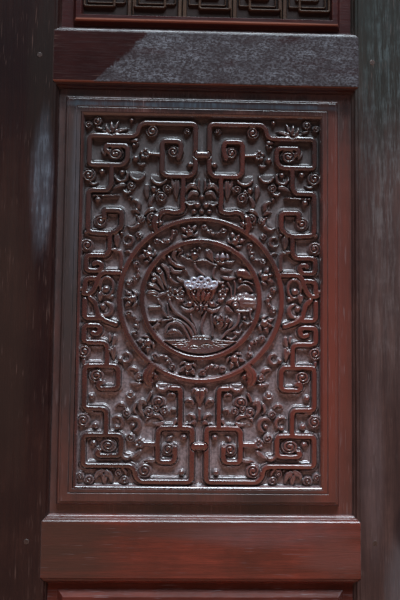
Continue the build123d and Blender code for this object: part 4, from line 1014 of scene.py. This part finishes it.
LOTUS_LEAVES = [
    ([(-47, 46), (-49, 36), (-44, 28), (-36, 24), (-27, 26)], 3.6, 7.4, 0),
    ([(-22, 26), (-32, 29), (-38, 37)], 3.6, 7.2, 0.8),
    ([(-50, 67), (-46, 58), (-38, 51), (-28, 48), (-21, 41), (-17, 34)], 4.4, 8, 0),
    ([(-48, 51), (-42, 42), (-32, 41), (-25, 46)], 4.4, 7.6, 0.8),
    ([(-36, 76), (-42, 65), (-36, 55)], 4.4, 7.8, 0.8),
    ([(-30, 77), (-30, 71), (-36, 66)], 3, 7.4, 0), ([(8, 77), (13, 67), (19, 55)], 6.4, 8, 1.2),
    ([(20, 64), (32, 57), (44, 64)], 6.4, 8, 0), ([(27, 59), (25, 65), (26, 71)], 4.8, 8.2, 0),
    ([(37, 59), (39, 65), (38, 71)], 4.8, 8.2, 0), ([(32, 58), (32, 65), (32, 73)], 5, 8.8, 0.4),
    ([(36, 57), (44, 56), (52, 60)], 3.6, 7.6, 0.6),
    ([(28, 47), (38, 44), (48, 45)], 4, 7.2, 1),
    ([(-61, 53), (-54, 48), (-50, 40), (-50, 27)], 4.4, 7.4, 1),
    ([(-67, 48), (-61, 40), (-57, 28), (-50, 16)], 4.8, 8, 1.2),
    ([(-76, 38), (-68, 34), (-61, 24), (-54, 12)], 4.6, 7.6, 1.2),
    ([(-80, 22), (-71, 20), (-60, 12)], 5, 7.6, 1.2), ([(-81, 8), (-71, 10), (-60, 5)], 4.6, 7.2, 1.2),
    ([(-66, 2), (-56, 8), (-50, 4)], 3.6, 6.8, 0.8), ([(-24, -2), (-33, 0), (-40, 7)], 4.2, 7.4, 0.8),
    ([(24, -2), (31, 0), (38, 8)], 4.2, 7.4, 0.8), ([(38, -6), (44, -2), (52, 5)], 4.4, 8, 0.8),
    ([(38, -8), (42, -15), (50, -19)], 4, 7.4, 0.8),
    ([(22, -23), (24, -34), (31, -46)], 6, 8.4, 0.8),
    ([(40, -24), (38, -35), (31, -46)], 6, 8.4, 0.8), ([(30, -22), (31, -32), (31, -45)], 5, 8.8, 0.6),
    ([(42, -27), (46, -35), (41, -44)], 3.6, 7.4, 0.6),
    ([(52, 42), (65, 39), (80, 32)], 9, 8.8, 0),
    ([(30, 35), (42, 32), (55, 34)], 4, 7.4, 0.8),
    ([(48, -48), (57, -50), (62, -43)], 3.2, 7, 0.6), ([(-50, -52), (-38, -48), (-26, -54)], 4.8, 8, 0),
    ([(24, 28), (31, 25), (36, 29)], 3.4, 7.2, 0), ([(-60, -36), (-68, -44), (-64, -52)], 3, 6.4, 0),
]
MEDALLION_BEADS = [
    (-33, 75, 4), (-20, 66, 3.6), (59, 30, 4), (27, -29, 4), (41, -31, 3.8), (33, 20, 3.6), (48, 71, 3.6),
    (-56, 62, 4), (64, 56, 4), (-3, 76, 3.4), (-64, 43, 4.4), (-71, 28, 4.6), (-39, 13, 4), (39, 15, 4),
    (30, -38, 5.2), (-76, 60, 3.4),
    (-46, 16, 3.6), (-30, 16, 3.4), (66, -27, 3.4),
]

FRIEZE_LINE = 104
FRIEZE_STEP = 40
medallion = new_ground(-123, 123, -123, 123, cell=0.7)


def frieze_unit(ground, middle):
    """One of the nine units of the vine: a bud with flared petals, a rosette at each side
    of it, and the branch that swings inwards to the next unit. Each place is its run along
    the circle and its distance from the middle of the rings."""
    def at(run, reach):
        turn = math.radians(middle) - run / FRIEZE_LINE
        return reach * math.cos(turn), reach * math.sin(turn)

    step = FRIEZE_LINE * math.radians(FRIEZE_STEP)
    branch = [at(23, 111), at(27, 104.5), at(31.5, 101.5), at(step / 2, 101), at(step - 31.5, 101.5),
              at(step - 27, 104.5), at(step - 23, 111)]
    stroke(ground, branch, 3.2, 7.4, "stem", moat=0.8)
    stroke(ground, [at(step / 2, 104), at(step / 2, 96)], 4, 8, "leaf", 0.6)
    bead(ground, *at(step / 2 - 4.5, 105), 3.2, 7.4, 0.6)
    for side in (-1, 1):
        stroke(ground, [at(side * 2, 97), at(side * 9, 98), at(side * 13, 104)], 3.4, 6.6, "leaf", 0.5)
        stroke(ground, [at(side * 1.5, 102), at(side * 6, 107), at(side * 12, 114)], 4.6, 8, "leaf", 0.8)
        bead(ground, *at(side * 22, 109.5), 6, 7.4, 1.2)
        curl = arc_points(*at(side * 22, 109.5), 3.4, middle, side * 250)
        stroke(ground, curl, 1.3, 8.4, "horn", moat=0.9)
    stroke(ground, [at(0, 103), at(0, 109), at(0, 116)], 3.8, 8.2, "leaf", 0)
    bead(ground, *at(0, 101.5), 6.2, 8.4, 1.2)


for unit in range(9):
    frieze_unit(medallion, 100 - FRIEZE_STEP * unit)
for points, half in LOTUS_STEMS:
    stroke(medallion, points, half, 6.8, "stem")
for points, half, top, vein in LOTUS_LEAVES:
    stroke(medallion, points, half, top, "leaf", vein)
for values in MEDALLION_BEADS:
    bead(medallion, *values, 8)
stroke(medallion, [(42, -5), (64, -4), (85, -4)], 9.5, 7.2, "horn", 0.8)
for u, v in (
    (50, 2), (59, 5), (68, 6.5), (77, 4.5), (83, -1), (81, -9), (73, -13.5), (64, -14.5), (55, -13),
):
    bead(medallion, u, v, 6, 5.2, 0)
for u, v in ((58, 6), (69, 7.5), (80, 3), (82, -9), (71, -15), (59, -14)):
    stroke(medallion, [(52, -7), ((52 + u) / 2, (v - 7) / 2 + 0.6), (u, v)], 2.6, 7.2, "leaf", 0, moat=0)
for u, v in ((-45.5, 8), (-31, 9), (33, 10)):
    blossom(medallion, u, v, 7, 8.2)
coil(medallion, 52, -8, 5.4, 90, 300)
bead(medallion, -10, 66, 7.2, 9.2)
for values in ((-14, 73.5, 2.6), (-6, 73.5, 2.6), (-10, 75.5, 2.8)):
    bead(medallion, *values, 8.6)

# The water under the lotus: one low swell with a raised brim and small wave crests
under_brim = np.interp(
    medallion["across"][0], [-66, -56, -30, -15, -12, 14, 17, 32, 56, 66],
    [-64, -62.5, -62, -60.5, -55.5, -55.5, -60.5, -62, -62, -64],
)
depth = under_brim[None, :] - medallion["up"]
away = np.hypot(medallion["across"], medallion["up"])
swell = 7.4 * np.clip(depth / 1.6, 0, 1) * np.clip((82.5 - away) / 1.6, 0, 1)
swell -= 0.5 * np.clip((depth - 3) / 9, 0, 1) * (swell > 2)
medallion["height"] = np.maximum(medallion["height"], swell)
for points, half in (
    ([(-58, -63), (-36, -62), (-16, -61)], 2.2), ([(-14, -57), (1, -55.5), (16, -57)], 2.6),
    ([(18, -61), (36, -62), (58, -63)], 2.2), ([(-17, -72), (-9, -70.5), (0, -72)], 1.8),
    ([(1, -70), (9, -68), (18, -70)], 1.8), ([(-44, -68), (-30, -69), (-18, -67)], 1.6),
    ([(20, -66), (32, -68), (46, -67)], 1.6),
):
    stroke(medallion, points, half, 7.9, "horn", moat=0.6)

# The lotus: sepals and the hanging bud, then the cup of petals, with its scalloped rim
for side in (-1, 1):
    stroke(medallion, [(side * 8, -13), (side * 20, -17), (side * 31, -9)], 4.6, 7.8, "leaf", 0.8)
    stroke(medallion, [(side * 10, -3), (side * 20, -9), (side * 29, -6)], 4.4, 7.6, "leaf", 0.8)
    bead(medallion, side * 16.5, -7.5, 5.6, 8.6)
for points, half in (
    ([(0, -4), (0, -14), (0, -26)], 5.6), ([(-10, -5), (-6, -14), (-1, -23)], 4),
    ([(10, -5), (6, -14), (1, -23)], 4),
):
    stroke(medallion, points, half, 8)
for u_top, u_foot, half in ((-19, -9, 6.6), (19, 9, 6.6), (-10, -5, 6.6), (10, 5, 6.6), (0, 0, 7)):
    stroke(
        medallion, [(u_foot, -5), ((u_top + u_foot) / 2 + u_top * 0.1, 8), (u_top, 26)], half, 9.2, "petal",
        0.0, moat=0.7,
    )
for u, half in ((-14.5, 4), (-5, 4.4), (5, 4.4), (14.5, 4)):
    stroke(medallion, [(u * 0.45, -4), (u * 0.8, 7), (u, 17)], half, 10, "leaf", 0.7, moat=0.8)


def scallop(ground, u, v, radius, top):
    """The rolled tip of a petal: a round rim about a small hollow."""
    where, away = round_patch(ground, u, v, radius + 2)
    x = np.clip(away / radius, 0, 1)
    hollow = 5 * np.clip(1 - x / 0.4, 0, 1) ** 0.7
    lay(ground, where, top - 2.2 * x ** 4 - 9 * np.clip((x - 0.8) / 0.2, 0, 1) ** 2 - hollow)


for top, radius, places in (
    (9.6, 7, ((-20, 22.5), (20, 22.5), (-10.5, 27.5), (10.5, 27.5), (0, 29.5))),
    (10.6, 4.8, ((-15.5, 16.5), (15.5, 16.5), (-5.4, 19.5), (5.4, 19.5))),
):
    for u, v in places:
        scallop(medallion, u, v, radius, top)
for values in ((-9, 11, 2.2), (10, 13, 2), (-5, -15, 2.8), (5.5, -15, 2.8)):
    bead(medallion, *values, 10)
ring(medallion, OUTER_RING)
ring(medallion, INNER_RING)
soften(medallion)
inside = np.hypot(medallion["across"], medallion["up"])[:-1, :-1] < OUTER_RING + 0.5
lotus = carved_piece("lotus_medallion", medallion, inside, RING_X, RING_Z, share=0.75)
hand_over(lotus, "leaf", "carved_timber", carved_finish, "carved_panel")


# The waist panel: a narrow border round a rectangular fret, on a ground thick with
# dust, of which the photograph shows only the lower edge.

WAIST_MIDDLE = (0, 1278 * MM)
waist_board = panel_board("waist_board", "waist_panel", [
    (206, 81, WAIST_MIDDLE, EDGE_FACE),
    (201, 76, WAIST_MIDDLE, FIELD_FACE),
    (193, 68, WAIST_MIDDLE, FIELD_FACE),
    (190, 65, WAIST_MIDDLE, GROUND + 0.5 * MM),
])
waist_finish = lacquer(
    "waist border lacquer", paint(50, 23, 24), paint(68, 32, 31), "x", worn=paint(118, 72, 60), wear=0.8,
    dusty=0.25, dust=paint(100, 80, 70), shine=0.3, coat=0.0, gloss=0.2,
    # A thin copper line along the foot of the border: a painted reflection of warm light from below
    patches_and_painted_light=[((0, FIELD_FACE + 0.5 * MM, 1.2025), (0.5, 0.004, 0.0024), paint(150, 96, 80), 0.85, 0.4, 0)],
)
hand_over(waist_board, "leaf", "carved_timber", waist_finish, "waist_panel")

# Its fret: five units of one winding rib, two thin frames inside each, and paired lines
# between them
UNIT_RUN = 77.5
UNIT_U = 34
UNIT_V = 52
WAIST_V = 66
WAIST_UNIT = [
    (-UNIT_U, -WAIST_V), (-UNIT_U, UNIT_V), (UNIT_U, UNIT_V), (UNIT_U, -UNIT_V), (-12, -UNIT_V),
    (-12, 28), (12, 28), (12, -28),
]
waist = new_ground(-191, 191, -WAIST_V, WAIST_V, cell=0.9)
for i in range(5):
    middle = (i - 2) * UNIT_RUN
    facing = 1 if middle >= 0 else -1
    rib(waist, [(middle + facing * u, v) for u, v in WAIST_UNIT], 2.1, 5.4, ledge=False, corner=2)
    for inset in (6, 17):
        turns = ((-1, -1), (-1, 1), (1, 1), (1, -1), (-1, -1))
        line = [(middle + (UNIT_U - inset) * side, (UNIT_V - inset) * end) for side, end in turns]
        rib(waist, line, 1.2, 4, ledge=False, corner=2)
for i in range(4):
    for side in (-1, 1):
        run = (i - 1.5) * UNIT_RUN + side * 1.7
        rib(waist, [(run, -WAIST_V), (run, WAIST_V)], 1.2, 5, ledge=False)
soften(waist)
all_cells = np.ones_like(waist["height"][:-1, :-1], bool)
waist_fret = carved_piece("waist_fret", waist, all_cells, *WAIST_MIDDLE, share=0.5)
waist_carved = lacquer(
    "waist carving lacquer", paint(62, 44, 37), paint(90, 70, 56), "none", worn=paint(116, 96, 80),
    wear=0.6, dusty=0.3, dust=paint(96, 80, 66), shine=0.4, coat=0.0, gloss=0.2,
)
# The waist's ground is high up, so painted shade makes it dark
dust_and_upper_shade(waist_carved, GROUND, paint(70, 30, 31), 4.5 * MM)
# Painted shade in the corners of the waist's fret
painted_corner_shade(waist_carved, 4 * MM, 0.7)
hand_over(waist_fret, "leaf", "carved_timber", waist_carved, "waist_panel")


# The open lattice of the upper leaf: thin bars let into edge bars, crossbars let into
# the uprights.

lattice_upright, lattice_level = [
    lacquer(f"lattice lacquer {way}", paint(46, 25, 22), paint(78, 40, 33), grain)
    for way, grain in (("upright", "z"), ("level", "x"))
]
for cad_node, finish in (
    ("lattice_edge_uprights", lattice_upright), ("lattice_edge_rails", lattice_level),
    ("lattice_uprights", lattice_upright), ("lattice_crossbars", lattice_level),
):
    timber(cad_node, "leaf", "lattice_timber", finish, 0.7 * MM)


# Wooden draw pegs through the tenons and stops, shaved by hand, with their ends cut
# flush and a pale line of dust round them.

peg_finish = lacquer(
    "peg lacquer", paint(44, 30, 27), paint(74, 52, 45), "none", worn=paint(140, 124, 112), wear=0.9,
    dusty=0.7, shine=0.45,
)


LEVEL_BACK = (math.pi / 2, 0, 0)


def pegs(cad_node, body, radius, length, places):
    """Round pegs that point front to back, each about its middle, as one piece, their ends a
    little eased. The radius, the length and the middles are in millimetres."""
    piece = added(f"{cad_node}_round", bpy.data.meshes.new(f"{cad_node}_round"))
    alone(piece)
    bpy.ops.object.mode_set(mode="EDIT")
    for place in places:
        bpy.ops.mesh.primitive_cylinder_add(
            vertices=24, radius=radius * MM, depth=length * MM, location=[value * MM for value in place],
            rotation=LEVEL_BACK,
        )
    bpy.ops.object.mode_set(mode="OBJECT")
    ease_edges(piece, 0.7 * MM, 60)
    smooth_flats(piece)
    hand_over(piece, body, "peg_timber", peg_finish, cad_node)


pegs(
    "leaf_pegs", "leaf", 4, 39.4,
    [(x, -4.7, z) for x in (-254, 254) for z in (171.5, 420, 1144, 1410.5, 2265.5, 2493)],
)
pegs("frame_pegs", "frame", 6, 97, [(x, -16.5, z) for x in (-390, 390) for z in (95, 2563)])
pegs("keeper_pegs", "leaf", 4, 64, [(x, 26, z) for x in (242, 328) for z in (1258, 1310)])
for cad_node in ("stop_pegs", "pivot_block_pegs"):
    timber(cad_node, "frame", "peg_timber", peg_finish, 0.5 * MM)


# The bolt on the back of the latch stile: a sliding bar with a turned handle, held by
# two pegged keepers. Hands have polished it.

bolt_finish = lacquer(
    "bolt wood", paint(70, 44, 34), paint(112, 76, 58), "x", worn=paint(150, 116, 92), wear=0.9, shine=0.36,
)
keeper_finish = lacquer("keeper wood", paint(56, 34, 28), paint(90, 56, 46), "z", wear=0.8)
timber("bolt_bar", "bolt", "bolt_timber", bolt_finish, 1.0 * MM)
timber("bolt_handle", "bolt", "bolt_timber", bolt_finish, 0.8 * MM, 15)
for cad_node in ("keeper_inner", "keeper_outer"):
    timber(cad_node, "leaf", "bolt_timber", keeper_finish, 1.0 * MM)


# A plain pale floor, a soft studio light from above and in front, and the camera where
# the photographer stood, crouching a little below the middle of the carved panel.

BACKDROP = [0.86, 0.86, 0.86, 1]
BOUNCE = paint(150, 104, 84)
bpy.ops.object.select_all(action="DESELECT")
bpy.ops.mesh.primitive_plane_add(size=40, location=(0, 0, 0))
floor = bpy.context.object
floor.name = "floor"
floor_finish = bpy.data.materials.new("floor")
floor_finish.use_nodes = True
tree = floor_finish.node_tree
shader = tree.nodes["Principled BSDF"]
seen = node(tree, "ShaderNodeLightPath").outputs["Is Camera Ray"]
feed(tree, shader.inputs["Base Color"], blend_colour(tree, seen, BOUNCE, paint(186, 182, 177)))
feed(tree, shader.inputs["Roughness"], 0.9)
spot = node(tree, "ShaderNodeTexCoord").outputs["Object"]
far = node(tree, "ShaderNodeVectorMath", {"operation": "LENGTH"}, i0=spot).outputs["Value"]
fade = maths(tree, "MULTIPLY", ramp(tree, far, 1.2, 5.0), seen)
pale = node(tree, "ShaderNodeEmission", Color=BACKDROP, Strength=1.0)
joined = node(tree, "ShaderNodeMixShader", i0=fade, i1=shader.outputs[0], i2=pale.outputs[0])
feed(tree, tree.nodes["Material Output"].inputs["Surface"], joined.outputs[0])
floor.data.materials.append(floor_finish)

world = bpy.data.worlds.new("studio")
bpy.context.scene.world = world
world.use_nodes = True
tree = world.node_tree
seen = node(tree, "ShaderNodeLightPath").outputs["Is Camera Ray"]
shown = blend_colour(tree, seen, [0.07, 0.075, 0.08, 1], BACKDROP)
feed(tree, tree.nodes["Background"].inputs["Color"], shown)


def soft_light(name, place, aim, size, power, tint):
    """A soft box that hangs at a place and points at another."""
    lamp = bpy.data.lights.new(name, "AREA")
    lamp.shape = "RECTANGLE"
    lamp.size, lamp.size_y = size
    lamp.energy = power
    lamp.color = tint
    lamp.spread = math.radians(140)
    holder = added(name, lamp)
    holder.location = place
    holder.rotation_euler = (Vector(aim) - Vector(place)).to_track_quat("-Z", "Y").to_euler()
    holder.visible_camera = False


COOL = (0.76, 0.9, 1.0)
WARM = (1.0, 0.98, 0.96)
soft_light("front box", (0.9, -3.2, 7.5), (0, 0, 0.8), (4.6, 2.4), 595, COOL)
soft_light("back box", (-0.8, 3.0, 4.6), (0, 0, 1.2), (2.0, 1.6), 165, WARM)
for name, side in (("left box", -1), ("right box", 1)):
    soft_light(name, (side * 3.6, 1.2, 2.4), (0, 0.1, 1.2), (1.6, 1.6), 60, WARM)

eye = bpy.data.cameras.new("photographer")
eye.lens = 50
eye.sensor_width = 36
camera = added("photographer", eye)
camera.location = (-0.0472, -1.2603, 0.6723)
camera.rotation_euler = [math.radians(a) for a in (94.703, -0.632, -1.932)]
bpy.context.scene.camera = camera
bpy.context.scene.view_settings.view_transform = "Standard"
